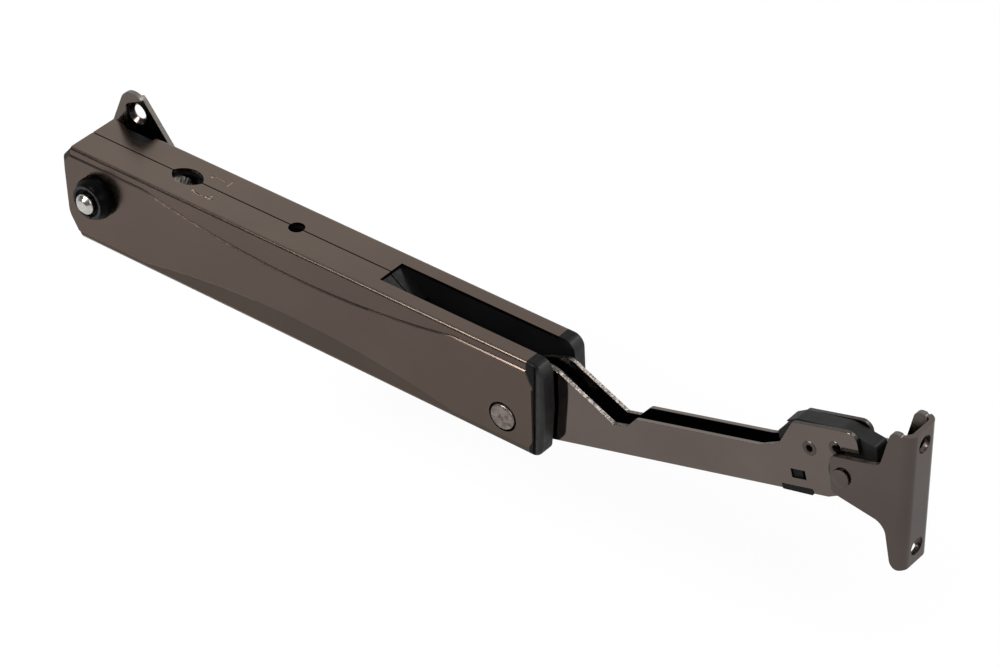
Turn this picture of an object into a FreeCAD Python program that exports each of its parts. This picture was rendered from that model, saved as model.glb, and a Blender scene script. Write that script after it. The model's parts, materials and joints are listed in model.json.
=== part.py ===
"""Lid stay: a sprung folding arm in a long two-part housing, for holding a cabinet lid open.

Frame, in millimetres: the origin is the middle of the two cabinet screws, on the face that lies on
the cabinet side. +X runs along the housing to the lid bracket, +Y goes into the cabinet side,
+Z is up. The stay is shown unfolded, with its arm on the stop.
"""
import FreeCAD
import Part
import math
import os
from FreeCAD import Vector

# Clearances
RUN = 0.05          # radial, of a shaft that turns or slides in its hole
SLIDE = 0.15        # of flat faces that slide on each other
REST = 0.05         # of flat faces that stay together
FREE = 0.3          # of faces that only pass each other

# Cabinet bracket
PLATE_T = 1.5
POCKET_DEPTH = 0.8
SCREW_SPACING = 30.0
SCREW_R = 2.2
COUNTERSINK_R = 3.4
EAR_R = 6.8
PLATE_LEFT = -12.8      # corner of the rhombus, before rounding
PLATE_RIGHT = 19.0
PLATE_EAR_LEFT = -3.9
PLATE_EAR_RIGHT = 1.5
PLATE_CORNER_R = 6.0
POCKET_LEFT = -3.7
POCKET_LOW = 5.5
POCKET_HIGH = 17.4      # at its left wall
POCKET_RISE = 0.49      # slope of the wall towards the end of the ear
POCKET_R = 2.5

# Pivot pin and its bush
PIN_X = 3.5
PIN_R = 3.1
PIN_PROUD = 6.7         # past the near face of the housing
PIN_GROOVE_DEPTH = 0.5
BUSH_R = 5.0
BUSH_FLANGE_R = 7.4
BUSH_FLANGE_T = 0.6
COLLAR_R = 6.0
COLLAR_L = 4.5
COLLAR_CHAMFER = 0.9
SLIT_W = 0.9
SLIT_COUNT = 4
LIP_DEPTH = 0.35

# Housing
HOUSING_L = 161.0
HOUSING_W = 19.9
HOUSING_H = 29.8
PIN_FROM_LEFT = 10.1
PIN_FROM_TOP = 12.0
FACE_GAP = 0.7          # between the housing and the cabinet bracket
SHEET = 1.0
FOLD_R = 1.1
SEAM = 0.4
PANEL_STEP = 0.45
PANEL_CHAMFER = 0.3
PANEL_TOP_MARGIN = 2.6
PANEL_BOTTOM_MARGIN = 2.1
WAIST_X0 = 27.0         # from the left end
WAIST_X1 = 137.0
WAIST_TOP = 5.7
WAIST_BOTTOM = 5.6
LEFT_BULGE = 2.2
NOSE_BULGE = 3.7        # of the black end block, past the steel
RIGHT_BULGE = 3.0
NOTCH_DEPTH = 5.7
NOTCH_X = 1.0           # from the left end
NOTCH_L = 15.4
NOTCH_DROP = 3.0

# Openings in the top, along the seam, from the left end
ADJUST_X = 35.6
ADJUST_L = 11.0
ADJUST_HALF = 3.65
PEEP_X = 75.1
PEEP_R = 2.35
SLOT_X = 108.1
SLOT_W = 9.3
BOTTOM_SLOT_X = 131.0
RAMP_L = 9.0

# Plastic liners
LINER_WALL = 1.5
CHEEK_L = 6.0
CHEEK_R = 3.8
CHEEK_EDGE_R = 1.2
CHEEK_INSET = 0.35

# Spring drive, places from the left end
BLOCK_X = 23.5
BLOCK_L = 5.8
WHEEL_R = 6.0
WHEEL_T = 2.6
WHEEL_TEETH = 16
TOOTH_DEPTH = 0.8
SCREW_SHANK_R = 2.5
SCREW_JOURNAL_R = 2.0
SCREW_END_X = 62.0
SEAT_X = 46.0
SEAT_L = 4.0
SEAT_TRAVEL = 7.5
SPRING_OD = 10.8
SPRING_WIRE = 1.5
SPRING_TURNS = 8
SPRING_PITCH_Z = 11.4   # between the axes of the two springs
SPRING_L = 48.0
SPIGOT_R = 3.7
SPIGOT_L = 2.5
ABUTMENT_L = 3.5
ROD_R = 2.0
ROD_PAST_SEAT = 2.0
BAR_H = 7.6
CHAMBER_H = 24.0

# Arm, in its own line: from the housing rivet to the lid bracket rivet
ARM_FROM_RIGHT = 7.2    # of the housing rivet, from the right end
ARM_FROM_TOP = 21.1
ARM_ANGLE = 15.25
ARM_L = 106.9
ARM_W = 7.6
ARM_T = 1.3
ARM_LOW = 8.4           # bottom edge below the line
ARM_HIGH = 3.1          # top edge of the channel above it
KNUCKLE_BACK = 20.6     # from the lid bracket rivet to the start of the knuckle
KNUCKLE_HIGH = 12.0
KNUCKLE_AHEAD = 5.0     # past the lid bracket rivet, above the shoulder
KNUCKLE_SHOULDER = 4.4
STOP_SLOT_HIGH = 6.3    # top of the open slot from the stop rivet to the walls' end
LOBE_X = 13.3
LOBE_Z = 9.2
LOBE_R = 4.5
NOTCH_FROM = 32.6       # the low place between elbow and channel
NOTCH_TO = 40.8
NOTCH_Z = 0.3
FOLD_MAX = 132.0        # degrees from the stop
RIVET_R = 3.0
RIVET_HEAD_R = 3.9
RIVET_HEAD_T = 1.4
RIVET_HOLE_R = 4.3
ARM_BUSH_R = 4.0

# Involute cam and its roller
CAM_BASE_R = 6.8        # slide of the roller for each radian of the arm
CAM_T = 2.0
CAM_GAP = 0.12
CAM_HUB_R = 6.0
CAM_RIVET_X = 10.5
CAM_RIVET_Z = 4.2
CAM_RIVET_R = 1.5
ROLLER_R = 3.0
ROLLER_X = 7.0          # roller axis left of the housing rivet, at rest
ROLLER_PIN_R = 1.25
FORK_W = 4.7
FORK_END = 2.3
NOSE_BACK = 4.0

# Lid bracket
BRACKET_T = 1.5
BRACKET_H = 42.0
BRACKET_REACH = 19.3    # rivet axis to the outer face
BRACKET_FOLD_R = 3.0
BRACKET_EAR = 4.0
HOLE_SPACING = 32.0
HOLE_R = 2.5
LID_RIVET_R = 2.15
WASHER_R = 5.0
WASHER_T = 0.7

# Clip in the knuckle: places back from the lid bracket rivet, and up from the arm's line
TUBE_R = 1.65
TUBE_BORE_R = 0.9
PIVOT_BACK = 10.3
PIVOT_UP = 5.1
STOP_BACK = 2.0
STOP_UP = 6.6
LEVER_LIFT = 6.0        # degrees
LEVER_BACK = 20.5
LEVER_UP = 12.3
LEVER_LOW = 3.2
LEVER_REAR_UP = 7.6
LEVER_REAR_LOW = 5.0
LEVER_AHEAD = 9.8       # past the rivet
LEVER_AHEAD_UP = 8.2
LEVER_STEP = 3.2
LEVER_BOSS_R = 2.8
WINDOW_BACK = 15.5
WINDOW_DOWN = 3.4
WINDOW_L = 4.4
WINDOW_H = 2.6
FOOT_BACK = 21.5
FOOT_L = 9.6
FOOT_H = 1.3
FOOT_PROUD = 0.6        # of the plastic, below the arm
INSERT_L = 14.1

# Places that follow from the sizes above
Y_FAR = -(POCKET_DEPTH + PLATE_T + FACE_GAP)
Y_MID = Y_FAR - HOUSING_W / 2
Y_NEAR = Y_FAR - HOUSING_W
X_LEFT = PIN_X - PIN_FROM_LEFT
X_RIGHT = X_LEFT + HOUSING_L
TOP = PIN_FROM_TOP
BOTTOM = TOP - HOUSING_H
HALF_BAND = HOUSING_W / 2 - PANEL_STEP
HALF_LINER = HALF_BAND - SHEET - REST
ARM_X = X_RIGHT - ARM_FROM_RIGHT
ARM_Z = TOP - ARM_FROM_TOP
DRIVE_Z = ARM_Z + CAM_BASE_R
UPPER_Z = DRIVE_Z + SPRING_PITCH_Z / 2
LOWER_Z = DRIVE_Z - SPRING_PITCH_Z / 2
CHAMBER_HALF = SPRING_OD / 2 + 0.5
WHEEL_X = X_LEFT + BLOCK_X + BLOCK_L + REST
SEAT_LEFT = X_LEFT + SEAT_X
SPRING_LEFT = SEAT_LEFT + SEAT_L
ABUTMENT_X = SPRING_LEFT + SPRING_L
SLIDER_TRAVEL = CAM_BASE_R * math.radians(FOLD_MAX)
ROLLER_AXIS_X = ARM_X - ROLLER_X
RAMP_SLOPE = math.radians(180 - ARM_ANGLE - FOLD_MAX)
BRACKET_HALF = ARM_W / 2 + WASHER_T + 2 * REST + BRACKET_T
KNUCKLE_X = ARM_L - KNUCKLE_BACK
PIVOT_X = ARM_L - PIVOT_BACK
STOP_X = ARM_L - STOP_BACK
WINDOW_X = ARM_L - WINDOW_BACK
FOOT_X0 = ARM_L - FOOT_BACK
FOOT_X1 = FOOT_X0 + FOOT_L
LID_X = ARM_X + ARM_L * math.cos(math.radians(ARM_ANGLE))
LID_Z = ARM_Z + ARM_L * math.sin(math.radians(ARM_ANGLE))


def box(x0, x1, y0, y1, z0, z1):
    """A block between two corners."""
    return Part.makeBox(x1 - x0, y1 - y0, z1 - z0, Vector(x0, y0, z0))


def rod_y(x, z, r, y0, y1):
    """A cylinder across the stay."""
    return Part.makeCylinder(r, y1 - y0, Vector(x, y0, z), Vector(0, 1, 0))


def rod_x(y, z, r, x0, x1):
    """A cylinder along the stay."""
    return Part.makeCylinder(r, x1 - x0, Vector(x0, y, z), Vector(1, 0, 0))


def rod_z(x, y, r, z0, z1):
    """An upright cylinder."""
    return Part.makeCylinder(r, z1 - z0, Vector(x, y, z0), Vector(0, 0, 1))


def rounded(points, place):
    """A closed face through (a, b, radius) corners. place turns (a, b) into a point in space."""
    corners = [(Vector(p[0], p[1], 0), p[2] if len(p) > 2 else 0.0) for p in points]
    ends = []
    count = len(corners)
    for i, (corner, radius) in enumerate(corners):
        back = (corners[i - 1][0] - corner).normalize()
        ahead = (corners[(i + 1) % count][0] - corner).normalize()
        if radius == 0:
            ends.append((corner, None, corner))
            continue
        half = back.getAngle(ahead) / 2
        reach = radius / math.tan(half)
        middle = (back + ahead).normalize()
        nearest = corner + middle * (radius / math.sin(half) - radius)
        ends.append((corner + back * reach, nearest, corner + ahead * reach))
    edges = []
    for i, (start, nearest, end) in enumerate(ends):
        if nearest is not None:
            edges.append(Part.Arc(place(start), place(nearest), place(end)).toShape())
        following = ends[(i + 1) % count][0]
        if (following - end).Length > 1e-6:
            edges.append(Part.LineSegment(place(end), place(following)).toShape())
    return Part.Face(Part.Wire(edges))


def side_prism(points, y0, y1):
    """Corners in X and Z, drawn through from y0 to y1."""
    face = rounded(points, lambda p: Vector(p.x, y0, p.y))
    return face.extrude(Vector(0, y1 - y0, 0))


def near(half):
    """Y of a face that lies this far from the seam, on the near side."""
    return Y_MID - half


def mirrored(shape):
    """The same shape on the far side of the seam."""
    return shape.mirror(Vector(0, Y_MID, 0), Vector(0, 1, 0))


def in_arm_line(shape):
    """Puts a shape drawn along the arm's line in its place on the stay."""
    shape.rotate(Vector(0, 0, 0), Vector(0, -1, 0), ARM_ANGLE)
    shape.translate(Vector(ARM_X, 0, ARM_Z))
    return shape


def arm_prism(points, half):
    """Corners in the arm's line, drawn through to this distance on both sides of the seam."""
    return in_arm_line(side_prism(points, Y_MID - half, Y_MID + half))


def arm_rod(x, z, r, half):
    """A cylinder across the arm, placed in the arm's line."""
    return in_arm_line(rod_y(x, z, r, Y_MID - half, Y_MID + half))


def side_outline(inset=0.0):
    """The housing from the side, with its bulged ends."""
    left = X_LEFT + inset
    right = X_RIGHT - inset
    top = TOP - inset
    low = BOTTOM + inset
    return [(left, top), (left, top - 2.2), (left - LEFT_BULGE - 0.1, top - 5.2, 1.6),
            (left - LEFT_BULGE + 0.4, top - 22.3, 7.0), (left + 2.8, low),
            (right + 0.9, low), (right + RIGHT_BULGE, low + 5.0, 3.5),
            (right + RIGHT_BULGE - 0.6, top - 7.2, 4.0), (right, top - 2.2), (right, top)]


def waisted_panel(inset, y0, y1):
    """The raised panel: full height at both ends and waisted between."""
    top = TOP - PANEL_TOP_MARGIN - inset
    low = BOTTOM + PANEL_BOTTOM_MARGIN + inset
    start = X_LEFT + WAIST_X0
    end = X_LEFT + WAIST_X1
    middle = (start + end) / 2
    far_left = X_LEFT - 2 * LEFT_BULGE
    far_right = X_RIGHT + 2 * RIGHT_BULGE

    def at(x, z):
        return Vector(x, y0, z)

    edges = [Part.LineSegment(at(far_left, top), at(start, top)).toShape(),
             Part.Arc(at(start, top), at(middle, top - WAIST_TOP), at(end, top)).toShape(),
             Part.LineSegment(at(end, top), at(far_right, top)).toShape(),
             Part.LineSegment(at(far_right, top), at(far_right, low)).toShape(),
             Part.LineSegment(at(far_right, low), at(end, low)).toShape(),
             Part.Arc(at(end, low), at(middle, low + WAIST_BOTTOM), at(start, low)).toShape(),
             Part.LineSegment(at(start, low), at(far_left, low)).toShape(),
             Part.LineSegment(at(far_left, low), at(far_left, top)).toShape()]
    prism = Part.Face(Part.Wire(edges)).extrude(Vector(0, y1 - y0, 0))
    return prism.common(side_prism(side_outline(inset), y0, y1))


def top_openings(grow=0.0):
    """What is cut through the top on the seam: the adjuster opening and the peep hole."""
    arc_r = (ADJUST_L ** 2 / 4 + ADJUST_HALF ** 2) / (2 * ADJUST_HALF)
    shift = arc_r - ADJUST_HALF
    x = X_LEFT + ADJUST_X
    low = UPPER_Z + WHEEL_R / 2
    one = rod_z(x, Y_MID + shift, arc_r + grow, low, TOP + 1)
    two = rod_z(x, Y_MID - shift, arc_r + grow, low, TOP + 1)
    peep = rod_z(X_LEFT + PEEP_X, Y_MID, PEEP_R + grow, UPPER_Z, TOP + 1)
    return one.common(two).fuse(peep)


def channel(half, top, low, radius, x0, x1):
    """Half of a box section, open at the seam."""
    def place(p):
        return Vector(x0, Y_MID - p.x, p.y)
    face = rounded([(SEAM / 2, top), (half, top, radius), (half, low, radius), (SEAM / 2, low)], place)
    return face.extrude(Vector(x1 - x0, 0, 0))


def cover():
    """Near half of the pressed steel housing."""
    x0 = X_LEFT - 2 * LEFT_BULGE
    x1 = X_RIGHT + 2 * RIGHT_BULGE
    shell = channel(HALF_BAND, TOP, BOTTOM, FOLD_R, x0, x1)
    panel = waisted_panel(0.0, near(HOUSING_W / 2), near(HALF_BAND - SHEET / 2))
    outer_y = near(HOUSING_W / 2)
    rim = [e for e in panel.Edges if all(abs(v.Y - outer_y) < 1e-6 for v in e.Vertexes)]
    shell = shell.fuse(panel.makeChamfer(PANEL_CHAMFER, rim))
    hollow = channel(HALF_BAND - SHEET, TOP - SHEET, BOTTOM + SHEET, FOLD_R - SHEET, x0 - 1, x1 + 1)
    seam_side = box(x0 - 1, x1 + 1, near(SEAM), Y_MID, BOTTOM + SHEET, TOP - SHEET)
    dish = waisted_panel(SHEET / 2, near(HOUSING_W / 2 - SHEET), near(HALF_BAND - SHEET))
    shell = shell.cut(hollow.fuse(seam_side)).cut(dish)
    inner = near(HALF_BAND - SHEET)
    ends = box(x0 - 1, X_LEFT, inner, Y_MID, BOTTOM - 1, TOP + 1)
    ends = ends.fuse(box(X_RIGHT, x1 + 1, inner, Y_MID, BOTTOM - 1, TOP + 1))
    shell = shell.cut(ends)
    shell = shell.common(side_prism(side_outline(), near(HOUSING_W / 2), Y_MID))
    shell = shell.cut(top_openings())
    slot = box(X_LEFT + SLOT_X, X_RIGHT + 1, near(SLOT_W / 2), Y_MID, TOP - 2 * SHEET, TOP + 1)
    low_slot = box(X_LEFT + BOTTOM_SLOT_X, X_RIGHT + 1, near(SLOT_W / 2), Y_MID,
                   BOTTOM - 1, BOTTOM + 2 * SHEET)
    shell = shell.cut(slot.fuse(low_slot))
    shell = shell.cut(rod_y(PIN_X, 0, BUSH_R + REST, Y_NEAR - 1, Y_MID))
    return shell.cut(rod_y(ARM_X, ARM_Z, RIVET_HOLE_R, Y_NEAR - 1, Y_MID))


def far_notch():
    """Shallow notch in the far top edge, beside the cabinet bracket."""
    left = X_LEFT + NOTCH_X
    out = HOUSING_W / 2 + 1
    deep = HOUSING_W / 2 - NOTCH_DEPTH
    corners = [(left - 2.0, out), (left + NOTCH_L * 0.72, deep, 2.5),
               (left + NOTCH_L * 0.95, deep + 0.8, 2.0), (left + NOTCH_L, out)]
    face = rounded(corners, lambda p: Vector(p.x, Y_MID + p.y, TOP - NOTCH_DROP))
    return face.extrude(Vector(0, 0, NOTCH_DROP + 1))


def cheek():
    """Rounded plastic end that stands out of the steel beside the arm."""
    x0 = X_RIGHT + REST
    middle = (TOP + BOTTOM) / 2
    corners = [(x0, TOP), (X_RIGHT + CHEEK_L - 0.8, TOP, CHEEK_R),
               (X_RIGHT + CHEEK_L, middle, 20.0),
               (X_RIGHT + CHEEK_L - 0.8, BOTTOM, CHEEK_R - 0.8), (x0, BOTTOM)]
    outer = near(HOUSING_W / 2 - CHEEK_INSET)
    solid = side_prism(corners, outer, near(SLOT_W / 2))
    rim = [e for e in solid.Edges
           if all(abs(v.Y - outer) < 1e-6 for v in e.Vertexes) and e.BoundBox.XMax > x0 + 1]
    solid = solid.makeFillet(CHEEK_EDGE_R, rim)
    behind_steel = side_prism(side_outline(-REST), outer - 1, near(HALF_LINER))
    return solid.cut(behind_steel)


def slider_way():
    """The hollow of a liner: bay of the adjuster, spring chamber, bar window and arm slot."""
    mid = Y_MID
    low = DRIVE_Z - CHAMBER_H / 2
    high = DRIVE_Z + CHAMBER_H / 2
    bay_x1 = WHEEL_X + WHEEL_T + TOOTH_DEPTH + 1.0
    bay = box(X_LEFT + BLOCK_X - REST, bay_x1, near(WHEEL_R + 0.6), mid, low, high)
    chamber_x1 = ABUTMENT_X + ABUTMENT_L + 2 * SLIDE + 1.0
    chamber = box(bay_x1 - 1, chamber_x1, near(CHAMBER_HALF), mid, low, high)
    slot_x = X_LEFT + SLOT_X
    half = near(SLOT_W / 2)
    ramp_x = slot_x + RAMP_L
    ramp_z = TOP - SHEET - RAMP_L * math.tan(RAMP_SLOPE)
    window_low = DRIVE_Z - BAR_H / 2 - SLIDE
    window_high = DRIVE_Z + BAR_H / 2 + SLIDE
    floor = BOTTOM + SHEET + REST + LINER_WALL
    end = X_RIGHT + 2 * CHEEK_L
    corners = [(slot_x, TOP + 1), (slot_x, TOP - SHEET), (ramp_x, ramp_z), (ramp_x, window_high),
               (chamber_x1 - 1, window_high), (chamber_x1 - 1, window_low), (ramp_x, window_low),
               (ramp_x, floor), (X_LEFT + BOTTOM_SLOT_X, floor), (X_LEFT + BOTTOM_SLOT_X, BOTTOM - 1),
               (end, BOTTOM - 1), (end, TOP + 1)]
    return bay.fuse(chamber).fuse(side_prism(corners, half, mid))


def liner():
    """Near plastic liner, with its left end block and its right cheek."""
    seam = near(SEAM / 2)
    body = channel(HALF_LINER, TOP - SHEET - REST, BOTTOM + SHEET + REST, FOLD_R - SHEET,
                   X_LEFT - REST, X_RIGHT + 2 * REST)
    nose = [(X_LEFT - REST, TOP - 0.3), (X_LEFT - NOSE_BULGE, TOP - 4.6, 2.5),
            (X_LEFT - NOSE_BULGE, TOP - 9.0, 8.0), (X_LEFT - NOSE_BULGE + 0.6, BOTTOM + 7.8, 8.0),
            (X_LEFT + 2.4, BOTTOM + 0.1), (X_LEFT + 2.4, BOTTOM + SHEET + 2 * REST),
            (X_LEFT - REST, BOTTOM + 4.5)]
    end_block = side_prism(nose, near(HALF_LINER), seam)
    below_steel = box(X_LEFT, X_LEFT + 4, near(HALF_LINER) - 1, seam + 1,
                      BOTTOM - 1, BOTTOM + SHEET + REST)
    end_block = end_block.cut(below_steel)
    solid = body.fuse(end_block).fuse(cheek())
    solid = solid.cut(slider_way()).cut(top_openings(REST))
    solid = solid.cut(rod_y(PIN_X, 0, BUSH_R, Y_NEAR - 1, Y_MID + 1))
    return solid.cut(rod_y(ARM_X, ARM_Z, RIVET_R, Y_NEAR - 1, Y_MID + 1)).removeSplitter()


def cabinet_bracket():
    """Rhombic steel plate with two joggled pockets that hold it off the cabinet side."""
    front = -(POCKET_DEPTH + PLATE_T)
    ear = SCREW_SPACING / 2 + EAR_R
    corners = [(PLATE_RIGHT, 0, PLATE_CORNER_R), (PLATE_EAR_RIGHT, ear, 4.5), (PLATE_EAR_LEFT, ear, 4.5),
               (PLATE_LEFT, 0, PLATE_CORNER_R), (PLATE_EAR_LEFT, -ear, 4.5),
               (PLATE_EAR_RIGHT, -ear, 4.5)]
    plate = side_prism(corners, front, -POCKET_DEPTH)
    outline = side_prism(corners, front - 1, 1)
    right = PLATE_RIGHT + 5
    rise = (right - POCKET_LEFT) * POCKET_RISE
    wall = PLATE_T / 2
    for way in (1, -1):
        low = way * POCKET_LOW
        high = way * POCKET_HIGH
        boss = side_prism([(POCKET_LEFT - wall, low - way * wall, POCKET_R), (right, low - way * wall),
                           (right, high + way * (rise + wall)),
                           (POCKET_LEFT - wall, high + way * wall, POCKET_R)], -POCKET_DEPTH, 0)
        pocket = side_prism([(POCKET_LEFT, low, POCKET_R), (right, low), (right, high + way * rise),
                             (POCKET_LEFT, high, POCKET_R)], front - 1, front + POCKET_DEPTH)
        plate = plate.fuse(boss.common(outline)).cut(pocket)
        z = way * SCREW_SPACING / 2
        plate = plate.cut(rod_y(0, z, SCREW_R, front - 1, 1))
        sink = COUNTERSINK_R - SCREW_R
        cone = Part.makeCone(COUNTERSINK_R, SCREW_R, sink, Vector(0, front + POCKET_DEPTH, z),
                             Vector(0, 1, 0))
        plate = plate.cut(cone)
    return plate.cut(rod_y(PIN_X, 0, PIN_R, front - 1, 1)).removeSplitter()


def pivot_pin():
    """Steel stud riveted in the cabinet bracket, with a groove for the bush and a domed end."""
    tip = Y_NEAR - PIN_PROUD
    dome = 1.2
    head = 0.5
    groove = Y_NEAR - COLLAR_L
    neck = PIN_R - PIN_GROOVE_DEPTH
    profile = [(0, tip), (PIN_R * 0.55, tip), (PIN_R, tip + dome), (PIN_R, groove - REST),
               (neck, groove + 0.2), (neck, groove + 1.0), (PIN_R, groove + 1.3),
               (PIN_R, -POCKET_DEPTH), (PIN_R + 0.6, -POCKET_DEPTH),
               (PIN_R + 0.6, -POCKET_DEPTH + head), (0, -POCKET_DEPTH + head)]
    face = rounded([(r, y) for r, y in profile], lambda p: Vector(PIN_X + p.x, p.y, 0))
    return face.revolve(Vector(PIN_X, 0, 0), Vector(0, 1, 0), 360)


def pivot_bush():
    """Plastic bush in the housing, with a slit collar that snaps over the end of the pin."""
    end = Y_NEAR - COLLAR_L
    bore = PIN_R + RUN
    lip = bore - LIP_DEPTH
    far = Y_FAR + BUSH_FLANGE_T
    profile = [(bore, far), (BUSH_FLANGE_R, far), (BUSH_FLANGE_R, Y_FAR + REST), (BUSH_R, Y_FAR + REST),
               (BUSH_R, Y_NEAR), (COLLAR_R, Y_NEAR - REST), (COLLAR_R, end + COLLAR_CHAMFER),
               (COLLAR_R - COLLAR_CHAMFER, end), (bore, end), (lip, end + 0.35), (lip, end + 0.85),
               (bore, end + 1.2)]
    face = rounded(profile, lambda p: Vector(PIN_X + p.x, p.y, 0))
    bush = face.revolve(Vector(PIN_X, 0, 0), Vector(0, 1, 0), 360)
    for i in range(SLIT_COUNT):
        slit = box(0, COLLAR_R + 1, end - 1, Y_NEAR - 2 * REST, -SLIT_W / 2, SLIT_W / 2)
        slit.rotate(Vector(0, 0, 0), Vector(0, 1, 0), 45 + 360 * i / SLIT_COUNT)
        slit.translate(Vector(PIN_X, 0, 0))
        bush = bush.cut(slit)
    return bush


def adjuster_block():
    """Block in the housing that carries the adjusting screw and lets the guide rod through."""
    x0 = X_LEFT + BLOCK_X
    half = WHEEL_R + 0.6 - REST
    reach = CHAMBER_H / 2 - REST
    block = box(x0, x0 + BLOCK_L, Y_MID - half, Y_MID + half, DRIVE_Z - reach, DRIVE_Z + reach)
    block = block.cut(rod_x(Y_MID, UPPER_Z, SCREW_JOURNAL_R + RUN, x0 - 1, x0 + BLOCK_L + 1))
    return block.cut(rod_x(Y_MID, LOWER_Z, ROD_R + FREE, x0 - 1, x0 + BLOCK_L + 1))


def adjusting_screw():
    """Screw with a crown wheel that a screwdriver turns through the top opening."""
    x0 = X_LEFT + BLOCK_X
    end = X_LEFT + SCREW_END_X
    rim = 0.8
    crown = WHEEL_X + WHEEL_T
    boss = crown + TOOTH_DEPTH
    profile = [(0, x0), (SCREW_JOURNAL_R, x0), (SCREW_JOURNAL_R, WHEEL_X), (WHEEL_R - rim, WHEEL_X),
               (WHEEL_R, WHEEL_X + rim), (WHEEL_R, crown), (WHEEL_R / 2, crown), (WHEEL_R / 2, boss),
               (SCREW_SHANK_R, boss), (SCREW_SHANK_R, end - rim), (SCREW_SHANK_R - rim, end), (0, end)]
    face = rounded(profile, lambda p: Vector(p.y, Y_MID + p.x, UPPER_Z))
    screw = face.revolve(Vector(0, Y_MID, UPPER_Z), Vector(1, 0, 0), 360)
    tooth_w = math.pi * WHEEL_R / WHEEL_TEETH
    for i in range(WHEEL_TEETH):
        gap = box(WHEEL_X + WHEEL_T - TOOTH_DEPTH, WHEEL_X + WHEEL_T + 1, -tooth_w / 2, tooth_w / 2,
                  WHEEL_R * 0.6, WHEEL_R + 1)
        gap.translate(Vector(0, Y_MID, UPPER_Z))
        gap.rotate(Vector(0, Y_MID, UPPER_Z), Vector(1, 0, 0), 360 * i / WHEEL_TEETH)
        screw = screw.cut(gap)
    return screw


def end_plate(x0, x1):
    """A plate that fills the spring chamber and slides in it."""
    half = CHAMBER_HALF - SLIDE
    reach = CHAMBER_H / 2 - SLIDE
    return box(x0, x1, Y_MID - half, Y_MID + half, DRIVE_Z - reach, DRIVE_Z + reach)


def spring_seat():
    """Nut on the adjusting screw that the springs stand on."""
    seat = end_plate(SEAT_LEFT, SPRING_LEFT)
    for z in (UPPER_Z, LOWER_Z):
        seat = seat.fuse(rod_x(Y_MID, z, SPIGOT_R, SPRING_LEFT, SPRING_LEFT + SPIGOT_L))
    seat = seat.cut(rod_x(Y_MID, UPPER_Z, SCREW_SHANK_R + RUN, SEAT_LEFT - 1, SPRING_LEFT + SPIGOT_L + 1))
    return seat.cut(rod_x(Y_MID, LOWER_Z, ROD_R + RUN, SEAT_LEFT - 1, SPRING_LEFT + SPIGOT_L + 1))


def spring(z):
    """One of the two coil springs, side by side between seat and slider."""
    wire_r = SPRING_WIRE / 2
    coil_r = SPRING_OD / 2 - wire_r
    length = SPRING_L - SPRING_WIRE - 2 * REST
    helix = Part.makeHelix(length / SPRING_TURNS, length, coil_r)
    profile = Part.Wire(Part.makeCircle(wire_r, Vector(coil_r, 0, 0), Vector(0, 1, 0)))
    coil = Part.Wire(helix).makePipeShell([profile], True, True)
    coil.rotate(Vector(0, 0, 0), Vector(0, 1, 0), 90)
    coil.translate(Vector(SPRING_LEFT + wire_r + REST, Y_MID, z))
    return coil


def slider():
    """Push bar: spring plate at the left, bar through the window, fork with the roller at the right."""
    x1 = ABUTMENT_X + ABUTMENT_L
    half = SLOT_W / 2 - SLIDE
    bar_end = ROLLER_AXIS_X - NOSE_BACK
    body = end_plate(ABUTMENT_X, x1)
    for z in (UPPER_Z, LOWER_Z):
        body = body.fuse(rod_x(Y_MID, z, SPIGOT_R, ABUTMENT_X - SPIGOT_L, ABUTMENT_X))
    body = body.fuse(box(x1, bar_end, Y_MID - half, Y_MID + half, DRIVE_Z - BAR_H / 2, DRIVE_Z + BAR_H / 2))
    tip_r = FORK_END
    fork = side_prism([(bar_end, DRIVE_Z + tip_r), (ROLLER_AXIS_X + tip_r, DRIVE_Z + tip_r, tip_r * 0.9),
                       (ROLLER_AXIS_X + tip_r, DRIVE_Z - tip_r, tip_r * 0.9), (bar_end, DRIVE_Z - tip_r)],
                      Y_MID - FORK_W / 2, Y_MID + FORK_W / 2)
    body = body.fuse(fork)
    gap = CAM_T / 2 + SLIDE
    room = ROLLER_R + FREE
    body = body.cut(box(ROLLER_AXIS_X - room, ROLLER_AXIS_X + room, Y_MID - gap, Y_MID + gap,
                        DRIVE_Z - BAR_H, DRIVE_Z + BAR_H))
    body = body.cut(rod_y(ROLLER_AXIS_X, DRIVE_Z, ROLLER_PIN_R, Y_MID - FORK_W, Y_MID + FORK_W))
    return body.cut(rod_x(Y_MID, LOWER_Z, ROD_R, ABUTMENT_X - SPIGOT_L - 1, x1 + 1)).removeSplitter()


def guide_rod():
    """Rod of the slider that keeps the lower spring straight and runs through the seat."""
    return rod_x(Y_MID, LOWER_Z, ROD_R, SEAT_LEFT - ROD_PAST_SEAT, ABUTMENT_X + ABUTMENT_L)


def roller():
    """Roller that the cam pushes."""
    wheel = rod_y(ROLLER_AXIS_X, DRIVE_Z, ROLLER_R, Y_MID - CAM_T / 2, Y_MID + CAM_T / 2)
    return wheel.cut(rod_y(ROLLER_AXIS_X, DRIVE_Z, ROLLER_PIN_R + RUN, Y_MID - CAM_T, Y_MID + CAM_T))


def roller_pin():
    """Pin of the roller, across the fork."""
    return rod_y(ROLLER_AXIS_X, DRIVE_Z, ROLLER_PIN_R, Y_MID - FORK_W / 2, Y_MID + FORK_W / 2)


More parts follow.
